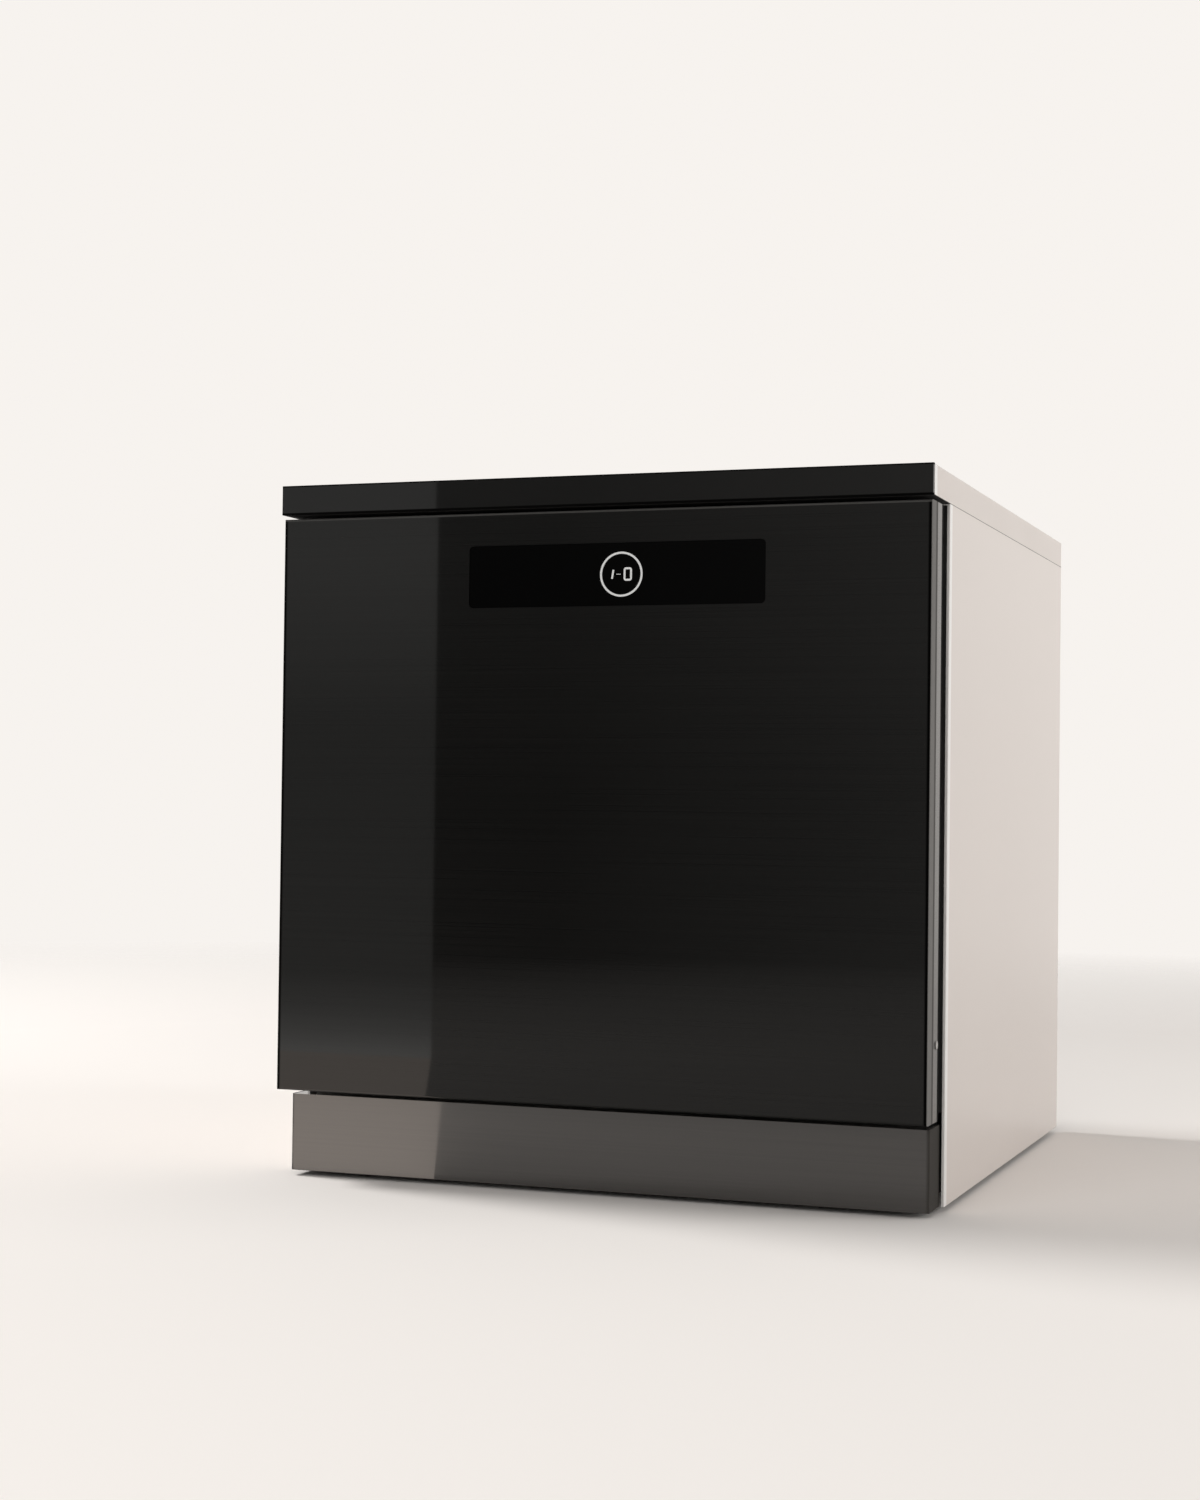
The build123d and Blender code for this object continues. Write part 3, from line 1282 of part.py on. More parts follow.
def cutlery_basket():
    z = (lower_grid_top, lower_grid_top + basket_height)
    basket = block(basket_x, basket_y, z)
    basket = fillet(basket.edges().filter_by(Axis.Z), 6)
    x_inside = (basket_x[0] + basket_wall + 1, basket_x[1] - basket_wall - 1)
    y_inside = (basket_y[0] + basket_wall + 1, basket_y[1] - basket_wall - 1)
    slits = []
    for x, y in basket_cell_spans():
        basket -= block(x, y, (z[0] + basket_wall, z[1] + 1))
        middle_x, middle_y = sum(x) / 2, sum(y) / 2
        across = (middle_x - 16, middle_x + 16)
        along = (middle_y - 18, middle_y + 18)
        for level in (0.25, 0.5, 0.75):
            height = z[0] + level * basket_height
            slit = (height - 8, height + 8)
            for wall in ((basket_y[0] - 1, y_inside[0]), (y_inside[1], basket_y[1] + 1)):
                slits.append(block(across, wall, slit))
            for wall in ((basket_x[0] - 1, x_inside[0]), (x_inside[1], basket_x[1] + 1)):
                slits.append(block(wall, along, slit))
    basket -= slits
    middle = sum(basket_x) / 2
    grip = (basket_y[0] + 70, basket_y[1] - 70)
    handle = block((middle - 1.2, middle + 1.2), grip, (z[1] - 20, z[1] + 34))
    finger_hole = block((0, overall_width), (grip[0] + 10, grip[1] - 10), (z[1] + 2, z[1] + 24))
    return basket + (handle - finger_hole)


def upper_rack():
    y = (rack_front_y, rack_front_y + upper_rack_depth)
    return Compound(children=wire_rack(upper_half, y, upper_rack_floor_z, upper_rack_height))


def upper_rails():
    """Channel on each side wall of the tub that the upper rack runs in."""
    y = (tub_front_y + 4, tub_rear_y - tub_corner_radius - 20)
    half = rail_height / 2
    rail = block((tub_half - rail_width, tub_half), y, (rail_z - half, rail_z + half))
    lip = (rail_z - half + rail_lip, rail_z + half - rail_lip)
    inside = block((0, tub_half - rail_lip), (y[0] - 1, y[1] - plastic_wall), lip)
    return both_sides(rail - inside)


def upper_rack_glides():
    """Four nylon glide blocks between the upper rack and its rails."""
    half = rail_height / 2 - rail_lip - running_gap
    x = (upper_half + long_wire_lift + wire_radius, tub_half - rail_lip - glide_side_gap)
    blocks = []
    for y in (rack_front_y + glide_front_inset, rack_front_y + upper_rack_depth - glide_rear_inset):
        along = (y - glide_half_length, y + glide_half_length)
        glide = block(x, along, (rail_z - half, rail_z + half))
        glide = fillet(glide.edges().filter_by(Axis.X), 4)
        blocks += [glide, mirror(glide, about=Plane.YZ)]
    return Compound(children=blocks)


# Export

def all_parts():
    parts = {
        "worktop_board": worktop_board(),
        "worktop_front_trim": worktop_front_trim(),
        "right_side_panel": side_panel(),
        "left_side_panel": mirror(side_panel(), about=Plane.YZ),
        "rear_panel": rear_panel(),
        "cabinet_screws": cabinet_screws(),
        "plinth": plinth(),
        "front_frame": front_frame(),
        "base_tray": base_tray(),
        "tub": tub(),
        "door_seal": door_seal(),
        "tub_insulation": tub_insulation(),
        "door_springs": door_springs(),
        "hinge_brackets": hinge_brackets(),
        "latch_housing": latch_housing(),
        "sump": sump(),
        "filter_plate": filter_plate(),
        "fine_filter": fine_filter(),
        "pump_housing": pump_housing(),
        "pump_impeller": pump_impeller(),
        "heater": heater(),
        "riser_duct": riser_duct(),
        "water_softener": water_softener(),
        "salt_cap": salt_cap(),
        "inlet_valve": inlet_valve(),
        "drain_pump": drain_pump(),
        "drain_outlet": drain_outlet(),
        "power_inlet": power_inlet(),
        "upper_rails": upper_rails(),
        "lower_spray_arm": spray_arm(lower_arm_radius, lower_arm_z, False),
        "door_outer_panel": door_outer_panel(),
        "door_inner_panel": door_inner_panel(),
        "door_insulation": door_insulation(),
        "display_window": display_window(),
        "display_ring": display_ring(),
        "power_button": power_button(),
        "control_housing": control_housing(),
        "control_board": control_board(),
        "dispenser_housing": dispenser_housing(),
        "detergent_lid": detergent_lid(),
        "rinse_cap": rinse_cap(),
        "hinge_arms": hinge_arms(),
        "latch_strike": latch_strike(),
        "door_screws": door_screws(),
        "lower_rack": lower_rack(),
        "plate_tines": plate_tines(),
        "cutlery_basket": cutlery_basket(),
        "wheel_front_left": rack_wheel(-1, wheel_y[0]),
        "wheel_front_right": rack_wheel(1, wheel_y[0]),
        "wheel_rear_left": rack_wheel(-1, wheel_y[1]),
        "wheel_rear_right": rack_wheel(1, wheel_y[1]),
        "upper_rack": upper_rack(),
        "upper_rack_glides": upper_rack_glides(),
        "upper_feed_pipe": upper_feed_pipe(),
        "upper_spray_arm": spray_arm(upper_arm_radius, upper_arm_z, True),
    }
    for name, (x, y) in foot_places().items():
        parts[name] = foot(x, y)
    return parts


os.makedirs("parts", exist_ok=True)
for name, shape in all_parts().items():
    export_step(shape, f"parts/{name}.step")
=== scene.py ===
import math

import bmesh
import bpy
from mathutils import Matrix, Vector


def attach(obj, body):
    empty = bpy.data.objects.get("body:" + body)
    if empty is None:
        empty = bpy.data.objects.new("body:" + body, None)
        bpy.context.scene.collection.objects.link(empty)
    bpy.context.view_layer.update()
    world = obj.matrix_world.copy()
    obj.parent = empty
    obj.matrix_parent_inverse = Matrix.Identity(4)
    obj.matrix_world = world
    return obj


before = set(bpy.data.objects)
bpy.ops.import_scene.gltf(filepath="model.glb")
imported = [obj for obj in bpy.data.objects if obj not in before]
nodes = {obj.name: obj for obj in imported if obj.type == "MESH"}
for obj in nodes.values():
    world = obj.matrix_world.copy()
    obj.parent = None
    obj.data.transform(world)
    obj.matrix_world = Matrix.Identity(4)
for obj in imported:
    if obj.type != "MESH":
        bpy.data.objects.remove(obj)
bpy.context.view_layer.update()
print("frame loaded:", len(nodes), "nodes")


# camera, fitted to the corners of the machine
cameraSetup = {
    "place": (0.73003, -2.28548, 0.34099),  # metres
    "yaw": 20.08,  # degrees
    "pitch": 1.263,
    "roll": 0.70,
    "lens": 58.52,  # mm on a 36 mm tall frame
    "sensor": 36.0,
    "clip": (0.05, 60.0),
}


def makeCamera(setup):
    data = bpy.data.cameras.new("camera")
    data.sensor_fit = "VERTICAL"
    data.sensor_height = setup["sensor"]
    data.lens = setup["lens"]
    data.clip_start, data.clip_end = setup["clip"]
    yaw, pitch, roll = (math.radians(setup[key]) for key in ("yaw", "pitch", "roll"))
    ahead = Vector((-math.sin(yaw) * math.cos(pitch), math.cos(yaw) * math.cos(pitch), math.sin(pitch)))
    flat = Vector((math.cos(yaw), math.sin(yaw), 0.0))
    above = flat.cross(ahead)
    right = flat * math.cos(roll) + above * math.sin(roll)
    up = above * math.cos(roll) - flat * math.sin(roll)
    turn = Matrix((right, up, -ahead)).transposed().to_4x4()
    camera = bpy.data.objects.new("camera", data)
    camera.matrix_world = Matrix.Translation(Vector(setup["place"])) @ turn
    bpy.context.collection.objects.link(camera)
    bpy.context.scene.camera = camera


makeCamera(cameraSetup)
print("camera placed")


# small helpers for shader trees
nodeStep = 220  # spacing in the node editor
unit = (0.0, 1.0)
mixSockets = {"FLOAT": (2, 3, 0), "RGBA": (6, 7, 2)}  # where a Mix node keeps A, B and its result
noiseSockets = {"scale": "Scale", "detail": "Detail", "rough": "Roughness", "twist": "Distortion"}


def addNode(tree, kind, **values):
    node = tree.nodes.new(kind)
    node.location = (nodeStep * len(tree.nodes), 0)
    for key, value in values.items():
        setattr(node, key, value)
    return node


def plug(tree, value, socket):  # links another node's output, or sets a plain value
    if isinstance(value, bpy.types.NodeSocket):
        tree.links.new(value, socket)
    else:
        socket.default_value = value


def opaque(colour):
    return (*colour, 1.0)


def mixed(tree, kind, share, a, b):
    mix = addNode(tree, "ShaderNodeMix", data_type=kind)
    first, second, result = mixSockets[kind]
    plug(tree, share, mix.inputs[0])
    plug(tree, a, mix.inputs[first])
    plug(tree, b, mix.inputs[second])
    return mix.outputs[result]


def maths(tree, operation, *values):
    node = addNode(tree, "ShaderNodeMath", operation=operation)
    for socket, value in zip(node.inputs, values):
        plug(tree, value, socket)
    return node.outputs[0]


def vectorMaths(tree, operation, output, *values):
    node = addNode(tree, "ShaderNodeVectorMath", operation=operation)
    for socket, value in zip(node.inputs, values):
        plug(tree, value, socket)
    return node.outputs[output]


def remap(tree, value, span, newSpan):
    node = addNode(tree, "ShaderNodeMapRange")
    for socket, number in zip(node.inputs, (value, *span, *newSpan)):
        plug(tree, number, socket)
    return node.outputs[0]


def splitVector(tree, vector):
    split = addNode(tree, "ShaderNodeSeparateXYZ")
    plug(tree, vector, split.inputs[0])
    return split.outputs


def addNoise(tree, vector, spec):
    noise = addNode(tree, "ShaderNodeTexNoise")
    for key, value in spec.items():
        plug(tree, value, noise.inputs[noiseSockets[key]])
    plug(tree, vector, noise.inputs["Vector"])
    return noise.outputs["Fac"]


def addCells(tree, vector, **values):
    cells = addNode(tree, "ShaderNodeTexVoronoi", **values)
    plug(tree, 1.0, cells.inputs["Scale"])
    plug(tree, vector, cells.inputs["Vector"])
    return cells.outputs


def newGroup(name, inputs, outputs):
    group = bpy.data.node_groups.new(name, "ShaderNodeTree")
    for label, kind in inputs:
        group.interface.new_socket(label, in_out="INPUT", socket_type=kind)
    for label, kind in outputs:
        group.interface.new_socket(label, in_out="OUTPUT", socket_type=kind)
    start = addNode(group, "NodeGroupInput")
    end = addNode(group, "NodeGroupOutput")
    return group, start.outputs, end.inputs


# surface patterns, each a group that gives a tone and a height
patternSockets = ([("Vector", "NodeSocketVector"), ("Scale", "NodeSocketVector")],
                  [("Tone", "NodeSocketFloat"), ("Height", "NodeSocketFloat")])


def startPattern(name):
    group, start, end = newGroup(name, *patternSockets)
    scaled = vectorMaths(group, "MULTIPLY", "Vector", start["Vector"], start["Scale"])
    return group, {"plain": start["Vector"], "scaled": scaled}, end


def closePattern(group, end, tone, height):
    plug(group, tone, end["Tone"])
    plug(group, height, end["Height"])
    return group


brushedLines = {  # long fine lines with a slow cloud over them
    "lines": {"scale": 1.0, "detail": 4.0, "rough": 0.65}, "contrast": (0.3, 0.7),
    "cloud": {"scale": 5.0, "detail": 2.0, "rough": 0.5}, "cloudShare": 0.35,
}


def brushedPattern(spec):
    group, vectors, end = startPattern("brushedLines")
    lines = remap(group, addNoise(group, vectors["scaled"], spec["lines"]), spec["contrast"], unit)
    cloud = addNoise(group, vectors["plain"], spec["cloud"])
    return closePattern(group, end, mixed(group, "FLOAT", spec["cloudShare"], lines, cloud), lines)


mouldedSkin = {  # spark-eroded plastic skin
    "grain": {"scale": 1.0, "detail": 3.0, "rough": 0.6}, "grainShare": 0.3,
    "cloud": {"scale": 14.0, "detail": 3.0, "rough": 0.5},
}


def mouldedPattern(spec):
    group, vectors, end = startPattern("mouldedSkin")
    grain = addNoise(group, vectors["scaled"], spec["grain"])
    cloud = addNoise(group, vectors["plain"], spec["cloud"])
    return closePattern(group, end, mixed(group, "FLOAT", spec["grainShare"], cloud, grain), grain)


enamelPeel = {  # faint orange peel of a sprayed and baked coat
    "peel": {"scale": 1.0, "detail": 1.0, "rough": 0.4},
    "cloud": {"scale": 3.0, "detail": 3.0, "rough": 0.5},
}


def enamelPattern(spec):
    group, vectors, end = startPattern("enamelPeel")
    peel = addNoise(group, vectors["scaled"], spec["peel"])
    cloud = addNoise(group, vectors["plain"], spec["cloud"])
    return closePattern(group, end, cloud, peel)


zincSpangle = {  # crystal patches of a zinc coat
    "streak": {"scale": 4.0, "detail": 4.0, "rough": 0.6}, "streakShare": 0.4,
}


def spanglePattern(spec):
    group, vectors, end = startPattern("zincSpangle")
    tint = addNode(group, "ShaderNodeSeparateColor")
    plug(group, addCells(group, vectors["scaled"])["Color"], tint.inputs[0])
    streak = addNoise(group, vectors["scaled"], spec["streak"])
    tone = mixed(group, "FLOAT", spec["streakShare"], tint.outputs[0], streak)
    return closePattern(group, end, tone, streak)


laminateSpeckle = {  # laminate print: pale ground with fine darker specks
    "specks": {"scale": 1.0, "detail": 2.0, "rough": 0.7}, "contrast": (0.58, 0.68), "speckShare": 0.25,
    "cloud": {"scale": 6.0, "detail": 4.0, "rough": 0.6},
}


def specklePattern(spec):
    group, vectors, end = startPattern("laminateSpeckle")
    specks = addNoise(group, vectors["scaled"], spec["specks"])
    dots = remap(group, specks, spec["contrast"], unit)
    cloud = addNoise(group, vectors["plain"], spec["cloud"])
    return closePattern(group, end, mixed(group, "FLOAT", spec["speckShare"], cloud, dots), specks)


feltFibre = {  # pressed felt
    "swirl": {"scale": 1.0, "detail": 6.0, "twist": 3.0},
}


def fibrePattern(spec):
    group, vectors, end = startPattern("feltFibre")
    swirl = addNoise(group, vectors["scaled"], spec["swirl"])
    return closePattern(group, end, swirl, swirl)


boardTraces = {  # copper runs under a circuit board's lacquer
    "pitch": 0.09, "contrast": (0.04, 0.06),
}


def tracePattern(spec):
    group, vectors, end = startPattern("boardTraces")
    cells = addCells(group, vectors["scaled"], distance="MANHATTAN")
    wave = maths(group, "PINGPONG", cells["Distance"], spec["pitch"])
    runs = remap(group, wave, spec["contrast"], unit)
    return closePattern(group, end, runs, runs)


patterns = {
    "brushed": brushedPattern(brushedLines),
    "moulded": mouldedPattern(mouldedSkin),
    "enamel": enamelPattern(enamelPeel),
    "spangle": spanglePattern(zincSpangle),
    "speckle": specklePattern(laminateSpeckle),
    "fibre": fibrePattern(feltFibre),
    "traces": tracePattern(boardTraces),
}
print("patterns built:", len(patterns))


# a band past one edge of a piece, where its finish changes
edgeSockets = ([("Vector", "NodeSocketVector"), ("Axis", "NodeSocketVector"),
                ("From", "NodeSocketFloat"), ("To", "NodeSocketFloat")],
               [("Mask", "NodeSocketFloat")])
axes = {"X": (1.0, 0.0, 0.0), "Y": (0.0, 1.0, 0.0), "Z": (0.0, 0.0, 1.0)}


def makeEdgeBand():  # X counts both ways from the middle
    group, start, end = newGroup("edgeBand", *edgeSockets)
    x, y, z = splitVector(group, start["Vector"])
    folded = addNode(group, "ShaderNodeCombineXYZ")
    for socket, value in zip(folded.inputs, (maths(group, "ABSOLUTE", x), y, z)):
        plug(group, value, socket)
    along = vectorMaths(group, "DOT_PRODUCT", "Value", folded.outputs[0], start["Axis"])
    plug(group, remap(group, along, (start["From"], start["To"]), unit), end["Mask"])
    return group


edgeBand = makeEdgeBand()


def edgeMask(tree, vector, edge):
    band = addNode(tree, "ShaderNodeGroup", node_tree=edgeBand)
    values = {"Vector": vector, "Axis": axes[edge["axis"]], "From": edge["from"], "To": edge["to"]}
    for label, value in values.items():
        plug(tree, value, band.inputs[label])
    mask = band.outputs["Mask"]
    if "within" in edge:
        mask = maths(tree, "MULTIPLY", mask, edgeMask(tree, vector, edge["within"]))
    return mask


def makeFinish(name, spec):
    material = bpy.data.materials.new(name)
    material.use_nodes = True
    tree = material.node_tree
    shader = tree.nodes["Principled BSDF"].inputs
    place = addNode(tree, "ShaderNodeTexCoord").outputs["Object"]
    pattern = addNode(tree, "ShaderNodeGroup", node_tree=patterns[spec["pattern"]])
    plug(tree, place, pattern.inputs["Vector"])
    plug(tree, spec["scale"], pattern.inputs["Scale"])
    tone = pattern.outputs["Tone"]
    colour = mixed(tree, "RGBA", tone, opaque(spec["dark"]), opaque(spec["pale"]))
    rough = remap(tree, tone, unit, spec["rough"])
    coat = spec.get("coat", 0.0)
    for edge in spec.get("edges", ()):
        mask = edgeMask(tree, place, edge)
        colour = mixed(tree, "RGBA", mask, colour, opaque(edge["colour"]))
        if "rough" in edge:
            rough = mixed(tree, "FLOAT", mask, rough, edge["rough"])
        if "coat" in edge:
            coat = mixed(tree, "FLOAT", mask, coat, edge["coat"])
    bump = addNode(tree, "ShaderNodeBump")
    plug(tree, spec["bump"], bump.inputs["Strength"])
    plug(tree, spec["depth"], bump.inputs["Distance"])
    plug(tree, pattern.outputs["Height"], bump.inputs["Height"])
    values = {
        "Base Color": colour, "Roughness": rough, "Coat Weight": coat, "Normal": bump.outputs["Normal"],
        "Metallic": spec.get("metal", 0.0), "Specular IOR Level": spec.get("specular", 0.5),
        "Coat Roughness": spec.get("coatRough", 0.1),
    }
    if "glow" in spec:
        values["Emission Color"] = opaque(spec["glow"])
        values["Emission Strength"] = spec["glowStrength"]
    for label, value in values.items():
        plug(tree, value, shader[label])
    return material


def dress(names, material):
    for name in names:
        mesh = nodes[name].data
        mesh.materials.clear()
        mesh.materials.append(material)


# casing finishes
blackSteel = {  # the door's skin: black steel brushed from side to side
    "pattern": "brushed", "scale": (2.5, 700.0, 700.0),
    "dark": (0.0012, 0.0012, 0.0011), "pale": (0.0046, 0.0046, 0.0042),
    "rough": (0.30, 0.42), "bump": 0.12, "depth": 0.00012, "specular": 0.04, "coat": 0.40, "coatRough": 0.03,
    "edges": ({"axis": "X", "from": 0.2940, "to": 0.2955, "colour": (0.0, 0.0, 0.0), "rough": 0.8,
               "coat": 0.0},  # dark rounded edge
              {"axis": "Z", "from": 0.5926, "to": 0.5936, "colour": (0.065, 0.063, 0.060)},  # painted highlight along the door's top edge
              {"axis": "X", "from": 0.2970, "to": 0.2977, "colour": (0.095, 0.091, 0.087)},  # folded sides painted grey, a painted reflection of the bright surroundings
              {"axis": "X", "from": 0.2970, "to": 0.2977, "colour": (0.190, 0.184, 0.177),
               "within": {"axis": "Y", "from": -0.2985, "to": -0.2995}}),  # with a painted highlight strip at their front
}
dress(["door_outer_panel"], makeFinish("blackSteel", blackSteel))

blackEdge = {  # satin black band on the worktop's front
    "pattern": "moulded", "scale": (1500.0, 1500.0, 1500.0),
    "dark": (0.0025, 0.0025, 0.0024), "pale": (0.0055, 0.0055, 0.0052),
    "rough": (0.30, 0.40), "bump": 0.05, "depth": 0.0001, "specular": 0.05, "coat": 0.40, "coatRough": 0.03,
    "edges": ({"axis": "Z", "from": 0.6004, "to": 0.5998, "colour": (0.001, 0.001, 0.001), "rough": 1.0,
               "coat": 0.0},  # matt underside
              {"axis": "Z", "from": 0.6232, "to": 0.6240, "colour": (0.001, 0.001, 0.001), "rough": 0.9,
               "coat": 0.0}),  # and top round
}
dress(["worktop_front_trim"], makeFinish("blackEdge", blackEdge))

greyEnamel = {  # baked enamel on the side panels
    "pattern": "enamel", "scale": (260.0, 260.0, 260.0),
    "dark": (0.615, 0.555, 0.515), "pale": (0.675, 0.615, 0.575),
    "rough": (0.26, 0.36), "bump": 0.06, "depth": 0.0002,
    "edges": ({"axis": "Y", "from": -0.2390, "to": -0.2410, "colour": (0.82, 0.80, 0.78)},),  # painted highlight on the front hem
}
dress(["right_side_panel", "left_side_panel"], makeFinish("greyEnamel", greyEnamel))

worktopLaminate = {  # pale laminate on the worktop's top and sides
    "pattern": "speckle", "scale": (900.0, 900.0, 900.0),
    "dark": (0.650, 0.590, 0.550), "pale": (0.590, 0.535, 0.495),
    "rough": (0.30, 0.42), "bump": 0.06, "depth": 0.0001,
    "edges": ({"axis": "X", "from": 0.2970, "to": 0.2980, "colour": (0.82, 0.80, 0.78),
               "within": {"axis": "Y", "from": -0.3000, "to": -0.3020}},  # painted highlight on the front end of the side
              {"axis": "Z", "from": 0.5993, "to": 0.5988, "colour": (0.004, 0.004, 0.004),
               "rough": 1.0}),  # underside painted black, a painted shade in the seam below it
}
dress(["worktop_board"], makeFinish("worktopLaminate", worktopLaminate))

plinthEnamel = {  # dark enamel on the kick plate
    "pattern": "brushed", "scale": (3.0, 500.0, 500.0),
    "dark": (0.022, 0.0195, 0.0175), "pale": (0.034, 0.030, 0.027),
    "rough": (0.28, 0.38), "bump": 0.05, "depth": 0.0001, "specular": 0.3, "coat": 1.0, "coatRough": 0.05,
    "edges": ({"axis": "X", "from": 0.2915, "to": 0.2940, "colour": (0.030, 0.027, 0.024), "rough": 0.85,
               "coat": 0.0},),  # dull ends
}
dress(["plinth"], makeFinish("plinthEnamel", plinthEnamel))

blackFrame = {  # matt black powder coat round the tub's mouth, its black a painted shade for the gap behind the door
    "pattern": "moulded", "scale": (1200.0, 1200.0, 1200.0),
    "dark": (0.004, 0.004, 0.004), "pale": (0.009, 0.009, 0.009),
    "rough": (0.55, 0.70), "bump": 0.15, "depth": 0.0002,
}
dress(["front_frame"], makeFinish("blackFrame", blackFrame))

zincSheet = {  # bare galvanised sheet
    "pattern": "spangle", "scale": (90.0, 90.0, 90.0),
    "dark": (0.36, 0.37, 0.38), "pale": (0.55, 0.56, 0.57),
    "rough": (0.30, 0.48), "bump": 0.05, "depth": 0.0001, "metal": 1.0,
}
dress(["rear_panel", "hinge_brackets", "hinge_arms", "upper_rails"], makeFinish("zincSheet", zincSheet))

screwSteel = {
    "pattern": "brushed", "scale": (900.0, 900.0, 60.0),
    "dark": (0.55, 0.55, 0.55), "pale": (0.80, 0.80, 0.79),
    "rough": (0.18, 0.30), "bump": 0.05, "depth": 0.0001, "metal": 1.0,
}
dress(["cabinet_screws", "latch_strike", "heater"], makeFinish("screwSteel", screwSteel))

dullScrew = {  # duller steel for the screws in the door's dark sides
    "pattern": "brushed", "scale": (900.0, 900.0, 60.0),
    "dark": (0.34, 0.34, 0.335), "pale": (0.50, 0.50, 0.49),
    "rough": (0.30, 0.42), "bump": 0.05, "depth": 0.0001, "metal": 1.0,
}
dress(["door_screws"], makeFinish("dullScrew", dullScrew))

springSteel = {
    "pattern": "brushed", "scale": (500.0, 60.0, 500.0),
    "dark": (0.28, 0.28, 0.29), "pale": (0.50, 0.50, 0.50),
    "rough": (0.20, 0.35), "bump": 0.05, "depth": 0.0001, "metal": 1.0,
}
dress(["door_springs"], makeFinish("springSteel", springSteel))
print("casing finished")


# wash chamber finishes
tubSteel = {  # bright stainless, rolled from front to back
    "pattern": "brushed", "scale": (500.0, 4.0, 500.0),
    "dark": (0.46, 0.455, 0.45), "pale": (0.66, 0.655, 0.645),
    "rough": (0.18, 0.30), "bump": 0.05, "depth": 0.0001, "metal": 1.0,
}
dress(["tub", "filter_plate"], makeFinish("tubSteel", tubSteel))

linerSteel = {  # stainless liner of the door
    "pattern": "brushed", "scale": (4.0, 500.0, 500.0),
    "dark": (0.44, 0.435, 0.425), "pale": (0.62, 0.61, 0.60),
    "rough": (0.24, 0.36), "bump": 0.05, "depth": 0.0001, "metal": 1.0,
    "edges": ({"axis": "X", "from": 0.2965, "to": 0.2972, "colour": (0.085, 0.081, 0.078)},  # folded sides painted dark, a painted shade on the stainless
              {"axis": "X", "from": 0.2965, "to": 0.2972, "colour": (0.001, 0.001, 0.001), "rough": 0.9,
               "within": {"axis": "Y", "from": -0.2775, "to": -0.2765}}),  # their rear rim painted black, a painted shadow that widens the gap
}
dress(["door_inner_panel"], makeFinish("linerSteel", linerSteel))

rackCoat = {  # nylon coat on the racks' wires
    "pattern": "moulded", "scale": (700.0, 700.0, 700.0),
    "dark": (0.30, 0.31, 0.33), "pale": (0.40, 0.41, 0.43),
    "rough": (0.32, 0.46), "bump": 0.08, "depth": 0.0002,
}
dress(["lower_rack", "plate_tines", "upper_rack"], makeFinish("rackCoat", rackCoat))

greyMoulding = {
    "pattern": "moulded", "scale": (900.0, 900.0, 900.0),
    "dark": (0.20, 0.205, 0.215), "pale": (0.29, 0.295, 0.305),
    "rough": (0.38, 0.52), "bump": 0.10, "depth": 0.0002,
}
dress(["dispenser_housing", "sump", "riser_duct", "upper_feed_pipe", "upper_spray_arm", "lower_spray_arm",
       "cutlery_basket", "upper_rack_glides", "drain_outlet", "fine_filter", "pump_impeller",
       "wheel_front_left", "wheel_front_right", "wheel_rear_left", "wheel_rear_right"],
      makeFinish("greyMoulding", greyMoulding))

whiteMoulding = {
    "pattern": "moulded", "scale": (600.0, 600.0, 600.0),
    "dark": (0.62, 0.615, 0.59), "pale": (0.74, 0.735, 0.71),
    "rough": (0.28, 0.40), "bump": 0.05, "depth": 0.0001,
}
dress(["water_softener", "inlet_valve", "salt_cap", "detergent_lid"],
      makeFinish("whiteMoulding", whiteMoulding))

blueMoulding = {
    "pattern": "moulded", "scale": (700.0, 700.0, 700.0),
    "dark": (0.025, 0.085, 0.24), "pale": (0.045, 0.13, 0.34),
    "rough": (0.26, 0.38), "bump": 0.05, "depth": 0.0001,
}
dress(["rinse_cap"], makeFinish("blueMoulding", blueMoulding))

blackMoulding = {
    "pattern": "moulded", "scale": (800.0, 800.0, 800.0),
    "dark": (0.010, 0.010, 0.010), "pale": (0.022, 0.022, 0.022),
    "rough": (0.45, 0.60), "bump": 0.12, "depth": 0.0002,
}
dress(["base_tray", "latch_housing", "control_housing", "power_inlet", "drain_pump", "pump_housing"],
      makeFinish("blackMoulding", blackMoulding))

blackRubber = {
    "pattern": "moulded", "scale": (420.0, 420.0, 420.0),
    "dark": (0.008, 0.008, 0.008), "pale": (0.018, 0.018, 0.018),
    "rough": (0.62, 0.80), "bump": 0.15, "depth": 0.0003, "specular": 0.3,
}
dress(["door_seal", "foot_front_left", "foot_front_right", "foot_rear_left", "foot_rear_right"],
      makeFinish("blackRubber", blackRubber))

pressedFelt = {
    "pattern": "fibre", "scale": (300.0, 300.0, 300.0),
    "dark": (0.05, 0.046, 0.042), "pale": (0.17, 0.16, 0.145),
    "rough": (0.85, 0.98), "bump": 0.6, "depth": 0.001,
}
dress(["door_insulation", "tub_insulation"], makeFinish("pressedFelt", pressedFelt))
print("wash chamber finished")


# display finishes
windowGloss = {  # gloss black window, with the faint clouding of wiped glass
    "pattern": "enamel", "scale": (180.0, 180.0, 180.0),
    "dark": (0.0008, 0.0008, 0.0008), "pale": (0.0016, 0.0016, 0.0016),
    "rough": (0.05, 0.11), "bump": 0.01, "depth": 0.0001, "specular": 0.05,
}
dress(["display_window", "power_button"], makeFinish("windowGloss", windowGloss))

ringGlow = {  # lit light guide
    "pattern": "enamel", "scale": (400.0, 400.0, 400.0),
    "dark": (0.52, 0.52, 0.51), "pale": (0.62, 0.62, 0.61),
    "rough": (0.30, 0.42), "bump": 0.02, "depth": 0.0001, "glow": (0.95, 0.97, 1.0), "glowStrength": 0.12,
}
ringMaterial = makeFinish("ringGlow", ringGlow)
dress(["display_ring"], ringMaterial)

